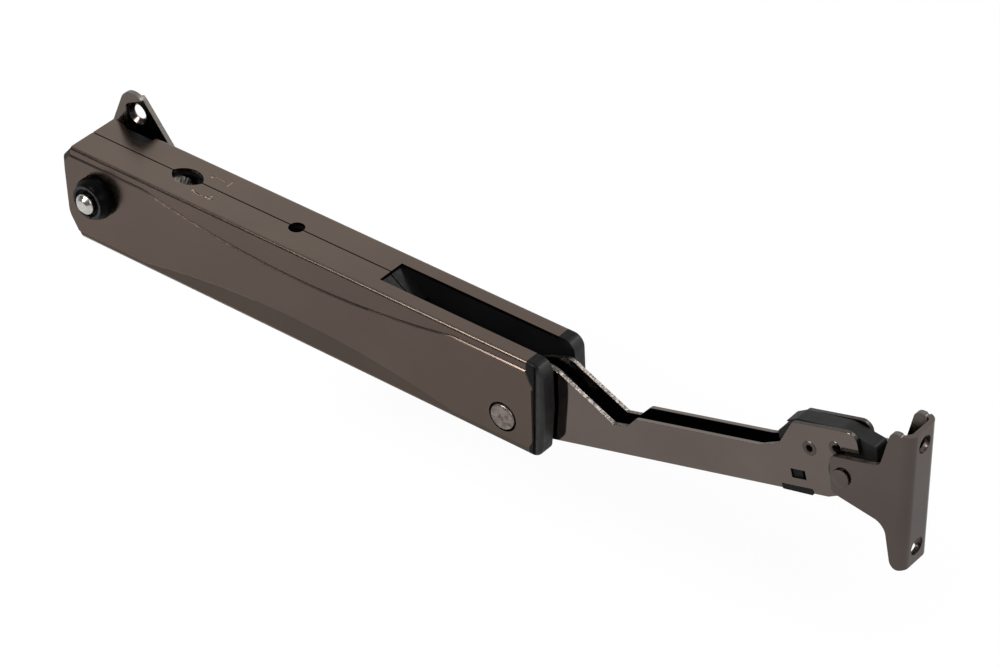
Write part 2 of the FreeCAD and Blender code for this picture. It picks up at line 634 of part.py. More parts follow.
def cam_plate():
    """Cam between the arm's walls. Its flank is an involute, so the slider moves evenly."""
    start = ROLLER_X - ROLLER_R - CAM_GAP
    first = math.radians(-12)
    last = math.radians(FOLD_MAX + 4)
    steps = 12
    flank = []
    for i in range(steps + 1):
        turn = first + (last - first) * i / steps
        unwound = start + CAM_BASE_R * turn
        x = -unwound * math.cos(turn) + CAM_BASE_R * math.sin(turn)
        z = unwound * math.sin(turn) + CAM_BASE_R * math.cos(turn)
        flank.append(Vector(ARM_X + x, Y_MID - CAM_T / 2, ARM_Z + z))
    curve = Part.BSplineCurve()
    curve.interpolate(flank)
    hub = Vector(ARM_X, Y_MID - CAM_T / 2, ARM_Z)
    heel = flank[-1] + Vector(-1.5, 0, -5.5)
    edges = [curve.toShape(), Part.LineSegment(flank[-1], heel).toShape(),
             Part.LineSegment(heel, hub).toShape(), Part.LineSegment(hub, flank[0]).toShape()]
    plate = Part.Face(Part.Wire(edges)).extrude(Vector(0, CAM_T, 0))
    plate = plate.fuse(rod_y(ARM_X, ARM_Z, CAM_HUB_R, Y_MID - CAM_T / 2, Y_MID + CAM_T / 2))
    plate = plate.cut(rod_y(ARM_X, ARM_Z, ARM_BUSH_R, Y_MID - CAM_T, Y_MID + CAM_T))
    return plate.cut(arm_rod(CAM_RIVET_X, CAM_RIVET_Z, CAM_RIVET_R, CAM_T)).removeSplitter()


def cam_rivet():
    """Rivet that keys the cam to the arm, with a spacer collar on each side of the cam."""
    inner = ARM_W / 2 - ARM_T
    rivet = arm_rod(CAM_RIVET_X, CAM_RIVET_Z, CAM_RIVET_R, ARM_W / 2)
    collar = arm_rod(CAM_RIVET_X, CAM_RIVET_Z, CAM_RIVET_R + 0.8, inner)
    web = arm_rod(CAM_RIVET_X, CAM_RIVET_Z, CAM_RIVET_R + 2, CAM_T / 2)
    return rivet.fuse(collar.cut(web))


def arm_bush():
    """Sleeve of the arm that turns on the housing rivet."""
    half = SLOT_W / 2 - SLIDE
    sleeve = rod_y(ARM_X, ARM_Z, ARM_BUSH_R, Y_MID - half, Y_MID + half)
    return sleeve.cut(rod_y(ARM_X, ARM_Z, RIVET_R + RUN, Y_MID - half - 1, Y_MID + half + 1))


def arm_rivet():
    """Rivet across the housing that the arm turns on, with flush slotted heads."""
    half = HOUSING_W / 2 - 0.1
    rivet = rod_y(ARM_X, ARM_Z, RIVET_R, Y_MID - half, Y_MID + half)
    for way in (-1, 1):
        ends = sorted((Y_MID + way * half, Y_MID + way * (half - RIVET_HEAD_T)))
        rivet = rivet.fuse(rod_y(ARM_X, ARM_Z, RIVET_HEAD_R, ends[0], ends[1]))
    slot = box(ARM_X - RIVET_HEAD_R * 0.8, ARM_X + RIVET_HEAD_R * 0.8, Y_MID - half - 1,
               Y_MID - half + 0.3, ARM_Z - 0.4, ARM_Z + 0.4)
    slot.rotate(Vector(ARM_X, 0, ARM_Z), Vector(0, -1, 0), 60)
    return rivet.cut(slot)


def arm_outline():
    """The arm from the side, in its own line: lobe, elbow, low place, channel and knuckle."""
    lid_r = ARM_LOW
    elbow_x = LOBE_X + LOBE_R
    end = ARM_L
    return [(0, -ARM_LOW), (end - 7.3, -ARM_LOW, 1.0), (end - 3.4, -lid_r * 0.86, 2.0),
            (end + lid_r, -lid_r * 0.62, 5.0), (end + lid_r, KNUCKLE_SHOULDER, 2.0),
            (end + KNUCKLE_AHEAD, KNUCKLE_SHOULDER), (end + KNUCKLE_AHEAD, KNUCKLE_HIGH, 2.8),
            (KNUCKLE_X + 6.4, KNUCKLE_HIGH, 1.6), (KNUCKLE_X + 0.6, ARM_HIGH + 1.6, 2.5),
            (KNUCKLE_X - 5.5, ARM_HIGH, 5.0), (NOTCH_TO, ARM_HIGH, 2.0), (NOTCH_TO - 3.8, NOTCH_Z, 1.4),
            (NOTCH_FROM, NOTCH_Z, 1.0), (elbow_x - 1.2, LOBE_Z + LOBE_R, LOBE_R * 0.9),
            (LOBE_X - 6.0, LOBE_Z + LOBE_R - 1.0, 5.0), (-ARM_LOW, ARM_LOW * 0.55, 4.5),
            (-ARM_LOW, -ARM_LOW, ARM_LOW)]


def arm():
    """Steel channel, open at the top, that folds up out of the housing."""
    inner = ARM_W / 2 - ARM_T
    body = arm_prism(arm_outline(), ARM_W / 2)
    web_x0 = 10.0
    channel_room = [(web_x0, -ARM_LOW + ARM_T, 2.0), (web_x0, -ARM_LOW - 1), (-20, -ARM_LOW - 1),
                    (-20, 30), (ARM_L + 20, 30), (ARM_L + 20, -ARM_LOW - 1), (FOOT_X0 - 0.6, -ARM_LOW - 1),
                    (FOOT_X0 - 0.6, -ARM_LOW + ARM_T)]
    body = body.cut(arm_prism(channel_room, inner))
    through = ARM_W
    left = WINDOW_X - WINDOW_L / 2
    right = WINDOW_X + WINDOW_L / 2
    low = -WINDOW_DOWN - WINDOW_H / 2
    high = -WINDOW_DOWN + WINDOW_H / 2
    window = [(left, low), (right, low), (right, high), (left, high)]
    foot = [(FOOT_X0, -ARM_LOW - 1), (FOOT_X1 + 0.8, -ARM_LOW - 1), (FOOT_X1, -ARM_LOW + FOOT_H),
            (FOOT_X0, -ARM_LOW + FOOT_H)]
    slot_end = ARM_L + KNUCKLE_AHEAD + 1
    slot = [(STOP_X, KNUCKLE_SHOULDER), (slot_end, KNUCKLE_SHOULDER), (slot_end, STOP_SLOT_HIGH),
            (STOP_X, STOP_SLOT_HIGH)]
    for opening in (window, foot, slot):
        body = body.cut(arm_prism(opening, through))
    for x, z, r in ((0, 0, ARM_BUSH_R), (CAM_RIVET_X, CAM_RIVET_Z, CAM_RIVET_R),
                    (PIVOT_X, PIVOT_UP, TUBE_R), (STOP_X, STOP_UP, TUBE_R),
                    (ARM_L, 0, LID_RIVET_R + RUN)):
        body = body.cut(arm_rod(x, z, r, through))
    return body.removeSplitter()


def clip_insert():
    """Plastic insert in the knuckle that shows in the window and in the bottom notch."""
    inner = ARM_W / 2 - ARM_T - REST
    low = -ARM_LOW - FOOT_PROUD
    end = FOOT_X0 + INSERT_L
    core = [(FOOT_X0 + REST, -ARM_LOW), (end - 1.5, -ARM_LOW, 1.0), (end, -ARM_LOW + 3.5, 1.0),
            (end, 1.0, 1.0), (FOOT_X0 + REST, 1.0, 1.0)]
    insert = arm_prism(core, inner)
    left = WINDOW_X - WINDOW_L / 2 + REST
    right = WINDOW_X + WINDOW_L / 2 - 1.2
    under = -WINDOW_DOWN - WINDOW_H / 2 + REST
    over = -WINDOW_DOWN + WINDOW_H / 2 - REST
    lug = [(left, under), (right, under), (right, over), (left, over)]
    foot = [(FOOT_X0 + REST, low + 0.3, 0.3), (FOOT_X1 + 1.1, low, 0.4), (FOOT_X1 + 0.1, -ARM_LOW - REST),
            (FOOT_X1 - REST, -ARM_LOW + FOOT_H - REST), (FOOT_X0 + REST, -ARM_LOW + FOOT_H - REST)]
    insert = insert.fuse(arm_prism(lug, ARM_W / 2 - 0.5)).fuse(arm_prism(foot, ARM_W / 2))
    return insert.removeSplitter()


def tube_rivets():
    """Two tubular rivets across the knuckle: the lever's pivot and its stop."""
    rivets = []
    for x, z in ((PIVOT_X, PIVOT_UP), (STOP_X, STOP_UP)):
        rivets.append(arm_rod(x, z, TUBE_R, ARM_W / 2).cut(arm_rod(x, z, TUBE_BORE_R, ARM_W)))
    return Part.makeCompound(rivets)


def release_lever():
    """Plastic lever in the knuckle. Its back is round about the lid rivet, so the bracket clears it."""
    inner = ARM_W / 2 - ARM_T - SLIDE
    end = ARM_L
    rear = end - LEVER_BACK
    tip = end + LEVER_AHEAD
    step = rear + LEVER_STEP
    outline = [(rear, LEVER_REAR_LOW, 0.6), (rear, LEVER_REAR_UP, 0.8), (step, LEVER_UP - 2.3, 0.5),
               (step + 0.3, LEVER_UP - 1.1, 0.4), (step + 3.6, LEVER_UP, 1.2),
               (end + 0.8, LEVER_UP - 0.5, 8.0),
               (tip, LEVER_AHEAD_UP, 1.2), (tip - 0.6, LEVER_LOW + 1.2, 1.0),
               (end + STOP_BACK + LEVER_BOSS_R, LEVER_LOW, 2.0),
               (end - STOP_BACK - LEVER_BOSS_R / 2, LEVER_LOW, 2.0),
               (PIVOT_X - LEVER_BOSS_R, PIVOT_UP - LEVER_BOSS_R, 2.2),
               (rear + LEVER_BOSS_R + 2.2, LEVER_REAR_LOW - 0.6, 1.0)]
    lever = arm_prism(outline, inner)
    lever = lever.cut(arm_rod(PIVOT_X, PIVOT_UP, TUBE_R + RUN, ARM_W))
    reach = math.hypot(STOP_X - PIVOT_X, STOP_UP - PIVOT_UP)
    bearing = math.atan2(STOP_UP - PIVOT_UP, STOP_X - PIVOT_X)
    steps = 6
    for i in range(steps + 1):
        angle = bearing - math.radians(LEVER_LIFT) * i / steps
        x = PIVOT_X + reach * math.cos(angle)
        z = PIVOT_UP + reach * math.sin(angle)
        lever = lever.cut(arm_rod(x, z, TUBE_R + 0.1, ARM_W))
    return lever.removeSplitter()


def lid_bracket():
    """Folded steel bracket: a face plate with two screw holes and a flange on each side of the knuckle."""
    inner = BRACKET_HALF - BRACKET_T
    outer = BRACKET_HALF
    face_x = LID_X + BRACKET_REACH
    half_h = BRACKET_H / 2
    ear_x = LID_X - BRACKET_EAR

    def section(half, front, radius):
        corners = [(ear_x - 1, Y_MID - half), (front, Y_MID - half, radius), (front, Y_MID + half, radius),
                   (ear_x - 1, Y_MID + half)]
        return rounded(corners, lambda p: Vector(p.x, p.y, LID_Z - half_h)).extrude(Vector(0, 0, BRACKET_H))

    bent = section(outer, face_x, BRACKET_FOLD_R).cut(
        section(inner, face_x - BRACKET_T, BRACKET_FOLD_R - BRACKET_T))
    x, z = LID_X, LID_Z
    outline = [(ear_x, z + 4.9, 1.6), (x + 10.6, z + 8.7, 3.0), (x + 13.2, z + half_h - 0.4, 2.2),
               (face_x + 1, z + half_h - 0.4), (face_x + 1, z - half_h), (x + 15.7, z - half_h, 2.8),
               (x + 13.1, z - 8.4, 4.5), (ear_x + 1.2, z - 5.9, 1.8)]
    bent = bent.common(side_prism(outline, Y_MID - outer - 1, Y_MID + outer + 1))
    relief_x = face_x - BRACKET_FOLD_R
    for side in (-1, 1):
        bent = bent.cut(rod_y(relief_x, z + half_h - 0.2, 0.6, *sorted((Y_MID + side * (inner - 0.5),
                                                                        Y_MID + side * (outer + 1)))))
    bent = bent.cut(rod_y(x, z, LID_RIVET_R, Y_MID - outer - 1, Y_MID + outer + 1))
    for dz in (-HOLE_SPACING / 2, HOLE_SPACING / 2):
        bent = bent.cut(rod_x(Y_MID, z + dz, HOLE_R, face_x - 3 * BRACKET_T, face_x + 1))
    return bent.removeSplitter()


def lid_rivet():
    """Rivet across the lid bracket, peened flush, that the bracket turns on."""
    return rod_y(LID_X, LID_Z, LID_RIVET_R, Y_MID - BRACKET_HALF, Y_MID + BRACKET_HALF)


def lid_washers():
    """Plastic washers between the knuckle and the flanges of the lid bracket."""
    inner = ARM_W / 2 + REST
    washer = rod_y(LID_X, LID_Z, WASHER_R, Y_MID + inner, Y_MID + inner + WASHER_T)
    washer = washer.cut(rod_y(LID_X, LID_Z, LID_RIVET_R, Y_MID, Y_MID + BRACKET_HALF))
    return Part.makeCompound([mirrored(washer), washer])


def main():
    os.makedirs("parts", exist_ok=True)
    near_cover = cover()
    near_liner = liner()
    pieces = {
        "cabinet_bracket": cabinet_bracket(),
        "pivot_pin": pivot_pin(),
        "pivot_bush": pivot_bush(),
        "near_cover": near_cover,
        "far_cover": mirrored(near_cover).cut(far_notch()),
        "near_liner": near_liner,
        "far_liner": mirrored(near_liner),
        "adjuster_block": adjuster_block(),
        "adjusting_screw": adjusting_screw(),
        "spring_seat": spring_seat(),
        "upper_spring": spring(UPPER_Z),
        "lower_spring": spring(LOWER_Z),
        "slider": slider(),
        "guide_rod": guide_rod(),
        "roller": roller(),
        "roller_pin": roller_pin(),
        "arm_rivet": arm_rivet(),
        "arm_bush": arm_bush(),
        "arm": arm(),
        "cam_plate": cam_plate(),
        "cam_rivet": cam_rivet(),
        "clip_insert": clip_insert(),
        "tube_rivets": tube_rivets(),
        "release_lever": release_lever(),
        "lid_bracket": lid_bracket(),
        "lid_rivet": lid_rivet(),
        "lid_washers": lid_washers(),
    }
    for name, shape in pieces.items():
        shape.exportStep(f"parts/{name}.step")
        solids = len(shape.Solids)
        print(f"{name:18s} solids {solids} valid {shape.isValid()} volume {shape.Volume:9.1f}")
    print(f"slider travel {SLIDER_TRAVEL:.2f} mm, lid rivet at X {LID_X:.2f} Z {LID_Z:.2f}")


if __name__ == "__main__":
    main()
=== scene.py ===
"""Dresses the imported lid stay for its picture: edges, engraved marks, turned parts and metals."""
import json
import math

import bpy
from bpy.props import FloatProperty, FloatVectorProperty, IntProperty, PointerProperty
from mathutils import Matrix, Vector

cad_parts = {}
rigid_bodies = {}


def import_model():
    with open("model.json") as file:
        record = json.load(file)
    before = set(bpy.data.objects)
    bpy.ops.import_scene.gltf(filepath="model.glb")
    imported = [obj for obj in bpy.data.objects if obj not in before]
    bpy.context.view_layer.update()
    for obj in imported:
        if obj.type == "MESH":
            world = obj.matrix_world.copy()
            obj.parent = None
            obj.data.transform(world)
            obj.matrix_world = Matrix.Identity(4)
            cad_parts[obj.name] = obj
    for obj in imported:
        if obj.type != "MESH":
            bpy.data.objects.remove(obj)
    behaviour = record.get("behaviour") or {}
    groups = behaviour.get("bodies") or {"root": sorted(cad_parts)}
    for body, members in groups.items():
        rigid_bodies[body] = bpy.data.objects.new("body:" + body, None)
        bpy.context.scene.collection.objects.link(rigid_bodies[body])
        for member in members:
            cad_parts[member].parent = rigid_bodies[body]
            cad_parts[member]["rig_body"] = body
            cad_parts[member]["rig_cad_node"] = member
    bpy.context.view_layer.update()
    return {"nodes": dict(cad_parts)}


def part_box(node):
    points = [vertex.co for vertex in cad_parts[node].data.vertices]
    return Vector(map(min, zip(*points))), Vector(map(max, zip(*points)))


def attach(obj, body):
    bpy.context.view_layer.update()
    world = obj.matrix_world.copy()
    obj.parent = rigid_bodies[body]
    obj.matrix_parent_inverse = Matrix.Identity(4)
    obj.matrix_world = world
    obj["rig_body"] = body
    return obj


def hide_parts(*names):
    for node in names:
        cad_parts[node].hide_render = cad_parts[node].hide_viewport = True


bl_info = {
    "name": "Lid stay",
    "version": (1, 0, 0),
    "blender": (4, 5, 0),
    "location": "3D View > Sidebar > Lid stay",
    "description": "Dresses the packed lid stay with edges, marks, turned parts and metals",
    "category": "Object",
}

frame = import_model()
MM = 0.001
BOTH_SIDES = (("near", -1), ("far", 1))

# Places on the stay that the CAD nodes give
RIVET = (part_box("arm_rivet")[0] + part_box("arm_rivet")[1]) / 2
PIN = (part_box("pivot_pin")[0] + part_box("pivot_pin")[1]) / 2
SEAM_Y = RIVET.y
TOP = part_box("near_cover")[1].z
ARM_ANGLE = math.radians(15.25)
ARM_LENGTH = 106.9 * MM
KNUCKLE_FACE = (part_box("tube_rivets")[1].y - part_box("tube_rivets")[0].y) / 2
BRACKET_FACE = (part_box("lid_rivet")[1].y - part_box("lid_rivet")[0].y) / 2
PANEL_FACE = SEAM_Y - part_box("near_cover")[0].y

# Side panel: painted shade darkens its step at the left and along the foot, a painted highlight
# lightens the foot's step at the left, and painted shade darkens the band below
STEP_DEPTH = 1.3 * MM
STEP_TOP = TOP - 1.6 * MM
DARK_STEP_END = 104.0 * MM
FOOT_TOP = -2.0 * MM
DARK_FOOT_START = 62.0 * MM
BAND_DEPTH = (0.3 * MM, 0.6 * MM)
RIVET_HOLE = 4.5 * MM

# Turning marks beside the adjuster opening: a curved arrow and a sign on each side of the seam
MARK_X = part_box("near_cover")[0].x + 45.9 * MM
MARK_FLOOR = (TOP - 0.2 * MM, TOP - 0.06 * MM)
MARK_REACH = 9.0 * MM
ARC_RADIUS = 4.75 * MM
ARC_START, ARC_SWEEP, ARC_STEPS = 72.0, 54.0, 9
ARC_PIECE = 0.75 * MM
TIP_ANGLE = math.radians(128.0)
BARB_LEAN, BARB_LENGTH, BARB_BACK = 0.65, 1.1 * MM, 0.4 * MM
SIGN_AHEAD, SIGN_OUT, SIGN_LENGTH, SIGN_BOLD = 3.6 * MM, 4.35 * MM, 2.9 * MM, 1.15

# Liners: a groove past the covers' end, and what lies inside or in the joint is painted dark as
# shade
GROOVE_AHEAD, GROOVE_WIDTH, GROOVE_DEPTH = 0.25 * MM, 0.9 * MM, 0.7 * MM
GROOVE_CUTTER = 6.0 * MM
INSIDE_HALF, INSIDE_TOP = 4.7 * MM, TOP - 0.4 * MM
JOINT_BACK, JOINT_AHEAD = 15.0 * MM, 0.75 * MM

# Snap collar of the pivot's bush: radius and reach out of the panel, in mm
COLLAR = ((6.05, 0.0), (6.33, 0.4), (6.42, 1.1), (6.34, 1.9), (6.1, 2.7), (5.75, 3.4), (5.4, 4.0),
          (5.25, 4.15), (5.15, 4.5), (4.35, 4.5), (4.1, 4.3), (4.0, 4.05), (2.85, 3.98),
          (2.85, 3.65), (3.2, 3.5), (3.2, 0.0))
CAD_COLLAR_RADIUS, CAD_COLLAR_REACH = 9.0 * MM, 8.0 * MM
COLLAR_SLITS = (191.0, 283.0)
SLIT_RADIUS, SLIT_REACH = 5.0 * MM, 4.2 * MM
SLIT_SIZE = (4.0 * MM, 2.2 * MM, 0.5 * MM)

# Rivets: a turned part keeps a small core that is filled flat
CORE = 0.4 * MM
ARM_SHANK, ARM_HEAD, ARM_HEAD_THICK = 3.0 * MM, 3.9 * MM, 1.4 * MM
LID_SHANK, LID_HEAD_DEPTH, LID_HEAD_GAP = 2.15 * MM, 0.55 * MM, 0.03 * MM
TUBE, BORE, FLARE, RIM = 1.62 * MM, 0.9 * MM, 2.1 * MM, 0.16 * MM
TUBE_SIDES = 64
# How far back from the lid rivet and how far up each tube rivet sits, in mm, and whether the
# lid bracket's flange hides the front of its rims
TUBE_RIVETS = ((10.3, 5.1, False), (2.0, 6.6, True))

# Arm and knuckle
CUT_FACE = 30e-6
KNUCKLE_BACK = 22.0 * MM
LEVER_GROOVE = (90.4 * MM, 10.6 * MM)
LEVER_GROOVE_SIZE = (2.6 * MM, 12.0 * MM, 0.6 * MM)

# Lid bracket: sheared strips on the flanges, and two screw holes in the plate
SMALL_STRIP, TOP_STRIP = 12e-6, 40e-6
PLATE_DEPTH = 2.0 * MM
HOLE_OFFSET, HOLE_REACH = 16.0 * MM, 2.9 * MM

# Studio
FLOOR_SIZE, FLOOR_PLACE = 12.0, (0.12, 0.0, -0.11)
FLOOR_GLOW = 0.85
FLOOR_IN_MIRROR = 0.65
STAY_MIDDLE = Vector((0.13, SEAM_Y, 0.0))
# Each lamp's name, direction from the stay, distance, width, height and power
LAMPS = (("key", (-0.28, -0.62, 0.66), 1.1, 0.42, 0.46, 10.5),
         ("back", (0.30, 0.60, 0.74), 1.1, 0.40, 0.30, 3.5),
         ("fill", (0.75, -0.45, 0.50), 1.3, 0.6, 0.6, 3.0))
CAMERA_PLACE = (0.6601, -0.67635, 0.6350)
CAMERA_TURN = (53.402, 0.0, 38.174)
SENSOR_WIDTH, LENS = 36.0, 144.0


def arm_point(along, up):
    """A point given along the arm's line from its housing rivet and up from it."""
    return Vector((RIVET.x + along * math.cos(ARM_ANGLE) - up * math.sin(ARM_ANGLE),
                   SEAM_Y,
                   RIVET.z + along * math.sin(ARM_ANGLE) + up * math.cos(ARM_ANGLE)))


def out(way, distance):
    """The Y of what lies a distance from the seam, on the near side (-1) or the far side (1)."""
    return SEAM_Y + way * distance


class LidStaySizes(bpy.types.PropertyGroup):
    """Sizes of what is added to the CAD shapes."""
    sheet_edge: FloatProperty(
        name="Sheet edge", description="Width of the broken edge of pressed steel",
        default=0.12 * MM, min=0.0, max=0.5 * MM, precision=5, unit="LENGTH")
    plate_edge: FloatProperty(
        name="Plate edge", description="Width of the broken edge of cabinet plate and lid bracket",
        default=0.2 * MM, min=0.0, max=0.6 * MM, precision=5, unit="LENGTH")
    arm_edge: FloatProperty(
        name="Arm edge", description="Width of the rounded edges of the arm's walls",
        default=0.27 * MM, min=0.0, max=0.4 * MM, precision=5, unit="LENGTH")
    plastic_edge: FloatProperty(
        name="Plastic edge", description="Width of the rounded edge of moulded parts",
        default=0.25 * MM, min=0.0, max=0.8 * MM, precision=5, unit="LENGTH")
    washer_edge: FloatProperty(
        name="Washer edge", description="Width of the rounded edge of the lid washers",
        default=0.1 * MM, min=0.0, max=0.3 * MM, precision=5, unit="LENGTH")
    pin_edge: FloatProperty(
        name="Pin edge", description="Width of the rounded edges of the pivot pin",
        default=0.5 * MM, min=0.0, max=1.0 * MM, precision=5, unit="LENGTH")
    mark_stroke: FloatProperty(
        name="Mark stroke", description="Width of the engraved plus, minus and arrows",
        default=0.40 * MM, min=0.1 * MM, max=1.0 * MM, precision=5, unit="LENGTH")
    mark_depth: FloatProperty(
        name="Mark depth", description="Depth of the engraved plus, minus and arrows",
        default=0.12 * MM, min=0.02 * MM, max=0.4 * MM, precision=5, unit="LENGTH")
    head_proud: FloatProperty(
        name="Rivet head proud", description="How far the arm's rivet head stands out of the panel",
        default=0.45 * MM, min=0.0, max=1.0 * MM, precision=5, unit="LENGTH")
    lid_head: FloatProperty(
        name="Lid rivet head", description="Radius of the lid rivet's heads",
        default=2.55 * MM, min=2.2 * MM, max=3.4 * MM, precision=5, unit="LENGTH")
    lid_head_proud: FloatProperty(
        name="Lid rivet proud", description="How far the lid rivet's near head stands out",
        default=0.8 * MM, min=0.1 * MM, max=1.2 * MM, precision=5, unit="LENGTH")
    turned_sides: IntProperty(
        name="Turned sides", description="Number of sides of a turned part",
        default=96, min=24, max=160)


class LidStayFinishes(bpy.types.PropertyGroup):
    """Colours of the finishes."""
    cover: FloatVectorProperty(
        name="Cover", description="Dark plated steel of the housing", subtype="COLOR",
        default=(0.129, 0.098, 0.080), min=0.0, max=1.0)
    nickel: FloatVectorProperty(
        name="Black nickel", description="Plating of arm, lid bracket and rivets", subtype="COLOR",
        default=(0.146, 0.1185, 0.105), min=0.0, max=1.0)
    cut_edge: FloatVectorProperty(
        name="Cut edge", description="Sheared edges of the plated parts", subtype="COLOR",
        default=(0.105, 0.094, 0.086), min=0.0, max=1.0)
    pin: FloatVectorProperty(
        name="Bright steel", description="Pivot pin, screw and rods", subtype="COLOR",
        default=(0.62, 0.60, 0.57), min=0.0, max=1.0)
    spring: FloatVectorProperty(
        name="Spring steel", description="Oiled spring wire", subtype="COLOR",
        default=(0.22, 0.21, 0.20), min=0.0, max=1.0)
    black: FloatVectorProperty(
        name="Black plastic", description="Liners, bush and small moulded parts", subtype="COLOR",
        default=(0.0075, 0.0075, 0.008), min=0.0, max=1.0)
    grey: FloatVectorProperty(
        name="Grey plastic", description="Release lever", subtype="COLOR",
        default=(0.022, 0.021, 0.021), min=0.0, max=1.0)


# Materials

def node_with(tree, kind, **values):
    """A new shader node with the named inputs set."""
    node = tree.nodes.new(kind)
    for key, value in values.items():
        node.inputs[key].default_value = value
    return node


def operation_node(tree, kind, operation):
    """A new math node with its operation set."""
    node = tree.nodes.new(kind)
    node.operation = operation
    return node


def object_coordinates(tree, scale=(1.0, 1.0, 1.0), location=(0.0, 0.0, 0.0)):
    """Object coordinates through a Mapping node."""
    place = tree.nodes.new("ShaderNodeTexCoord")
    mapping = node_with(tree, "ShaderNodeMapping", Scale=scale, Location=location)
    tree.links.new(place.outputs["Object"], mapping.inputs["Vector"])
    return mapping.outputs["Vector"]


def noise(tree, vector, scale, detail=3.0, roughness=0.5):
    """A Noise Texture on the given coordinates."""
    node = node_with(tree, "ShaderNodeTexNoise", Scale=scale, Detail=detail, Roughness=roughness)
    tree.links.new(vector, node.inputs["Vector"])
    return node.outputs["Fac"]


def between(tree, value, source, target):
    """Maps a value from one range to another."""
    node = node_with(tree, "ShaderNodeMapRange", **{
        "From Min": source[0], "From Max": source[1], "To Min": target[0], "To Max": target[1]})
    tree.links.new(value, node.inputs["Value"])
    return node.outputs["Result"]


def tinted(tree, value, dark, light):
    """A colour between two others, by a value from 0 to 1."""
    node = tree.nodes.new("ShaderNodeMix")
    node.data_type = "RGBA"
    tree.links.new(value, node.inputs["Factor"])
    node.inputs["A"].default_value = (*dark, 1.0)
    node.inputs["B"].default_value = (*light, 1.0)
    return node.outputs["Result"]


def scaled(tree, colour, factor):
    """A colour or vector times a value."""
    node = operation_node(tree, "ShaderNodeVectorMath", "SCALE")
    tree.links.new(colour, node.inputs[0])
    tree.links.new(factor, node.inputs["Scale"])
    return node.outputs["Vector"]


def mixed(tree, factor, first, second, output=None):
    """Mixes two shader nodes by a value, on to an output's surface if one is given."""
    mix = tree.nodes.new("ShaderNodeMixShader")
    tree.links.new(factor, mix.inputs["Fac"])
    tree.links.new(first.outputs[0], mix.inputs[1])
    tree.links.new(second.outputs[0], mix.inputs[2])
    if output is not None:
        tree.links.new(mix.outputs[0], output.inputs["Surface"])
    return mix


def uneven(tree, shader, height, strength, distance):
    """Bumps the shader's surface by a texture."""
    bump = node_with(tree, "ShaderNodeBump", Strength=strength, Distance=distance)
    tree.links.new(height, bump.inputs["Height"])
    tree.links.new(bump.outputs["Normal"], shader.inputs["Normal"])


def shaded(colour, factor):
    """A colour made lighter or darker."""
    return tuple(min(1.0, c * factor) for c in colour)


def start_material(name, metallic, **sockets):
    """A node material with its shader's constants set. Gives back material, tree and shader."""
    material = bpy.data.materials.new(name)
    material.use_nodes = True
    tree = material.node_tree
    shader = tree.nodes["Principled BSDF"]
    shader.inputs["Metallic"].default_value = metallic
    for key, value in sockets.items():
        shader.inputs[key].default_value = value
    return material, tree, shader


def plated_steel(name, colour, roughness, grain=(1.0, 1.0, 1.0), cloud=0.10, scratch=0.3,
                 peel=0.10, shade_fade=0.0, spots=38.0):
    """Plated or lacquered steel: cloudy tone, fine drawn grain in the gloss and a slightly uneven
    skin. With a shade fade, painted shade darkens the colour towards the lid bracket's end."""
    material, tree, shader = start_material(name, 1.0)
    plain = object_coordinates(tree)
    drawn = object_coordinates(tree, scale=grain)
    clouds = noise(tree, plain, spots, detail=4.0, roughness=0.55)
    tone = tinted(tree, between(tree, clouds, (0.32, 0.68), (0.0, 1.0)),
                  shaded(colour, 1.0 - cloud), shaded(colour, 1.0 + cloud))
    # Painted shade: the tone darkens along X towards the lid bracket's end
    if shade_fade:
        apart = tree.nodes.new("ShaderNodeSeparateXYZ")
        tree.links.new(plain, apart.inputs["Vector"])
        along = between(tree, apart.outputs["X"], (0.02, 0.155), (1.0, 1.0 - shade_fade))
        tone = scaled(tree, tone, along)
    tree.links.new(tone, shader.inputs["Base Color"])
    fine = noise(tree, drawn, 1600.0, detail=4.0, roughness=0.6)
    gloss = between(tree, fine, (0.3, 0.7),
                    (roughness * (1.0 - scratch), roughness * (1.0 + scratch)))
    tree.links.new(gloss, shader.inputs["Roughness"])
    skin = noise(tree, plain, 1500.0, detail=2.0, roughness=0.4)
    uneven(tree, shader, skin, peel, 0.00002)
    return material


def sheared_steel(name, colour, contrast=0.6):
    """The torn and burnished edge left by the press: bright, streaked and uneven."""
    material, tree, shader = start_material(name, 1.0)
    across = object_coordinates(tree, scale=(1.0, 0.45, 1.0))
    streaks = noise(tree, across, 2300.0, detail=3.0, roughness=0.75)
    tone = tinted(tree, between(tree, streaks, (0.40, 0.60), (0.0, 1.0)),
                  shaded(colour, 1.0 - contrast), shaded(colour, 1.0 + 1.6 * contrast))
    tree.links.new(tone, shader.inputs["Base Color"])
    patches = noise(tree, object_coordinates(tree), 900.0)
    tree.links.new(between(tree, patches, (0.3, 0.7), (0.28, 0.5)), shader.inputs["Roughness"])
    uneven(tree, shader, streaks, 0.5, 0.00004)
    return material


def turned_steel(name, colour, centre, roughness=0.22):
    """Turned steel: fine rings about an axis across the stay."""
    material, tree, shader = start_material(name, 1.0)
    rings = node_with(tree, "ShaderNodeTexWave", Scale=1400.0, Distortion=1.5)
    rings.wave_type = "RINGS"
    rings.rings_direction = "Y"
    about = object_coordinates(tree, location=(-centre.x, -centre.y, -centre.z))
    tree.links.new(about, rings.inputs["Vector"])
    smudge = noise(tree, object_coordinates(tree), 420.0, detail=4.0, roughness=0.6)
    tone = tinted(tree, between(tree, smudge, (0.3, 0.7), (0.0, 1.0)),
                  shaded(colour, 0.82), shaded(colour, 1.12))
    tree.links.new(tone, shader.inputs["Base Color"])
    gloss = between(tree, smudge, (0.3, 0.7), (roughness * 0.7, roughness * 1.4))
    tree.links.new(gloss, shader.inputs["Roughness"])
    uneven(tree, shader, rings.outputs["Fac"], 0.12, 0.00002)
    return material


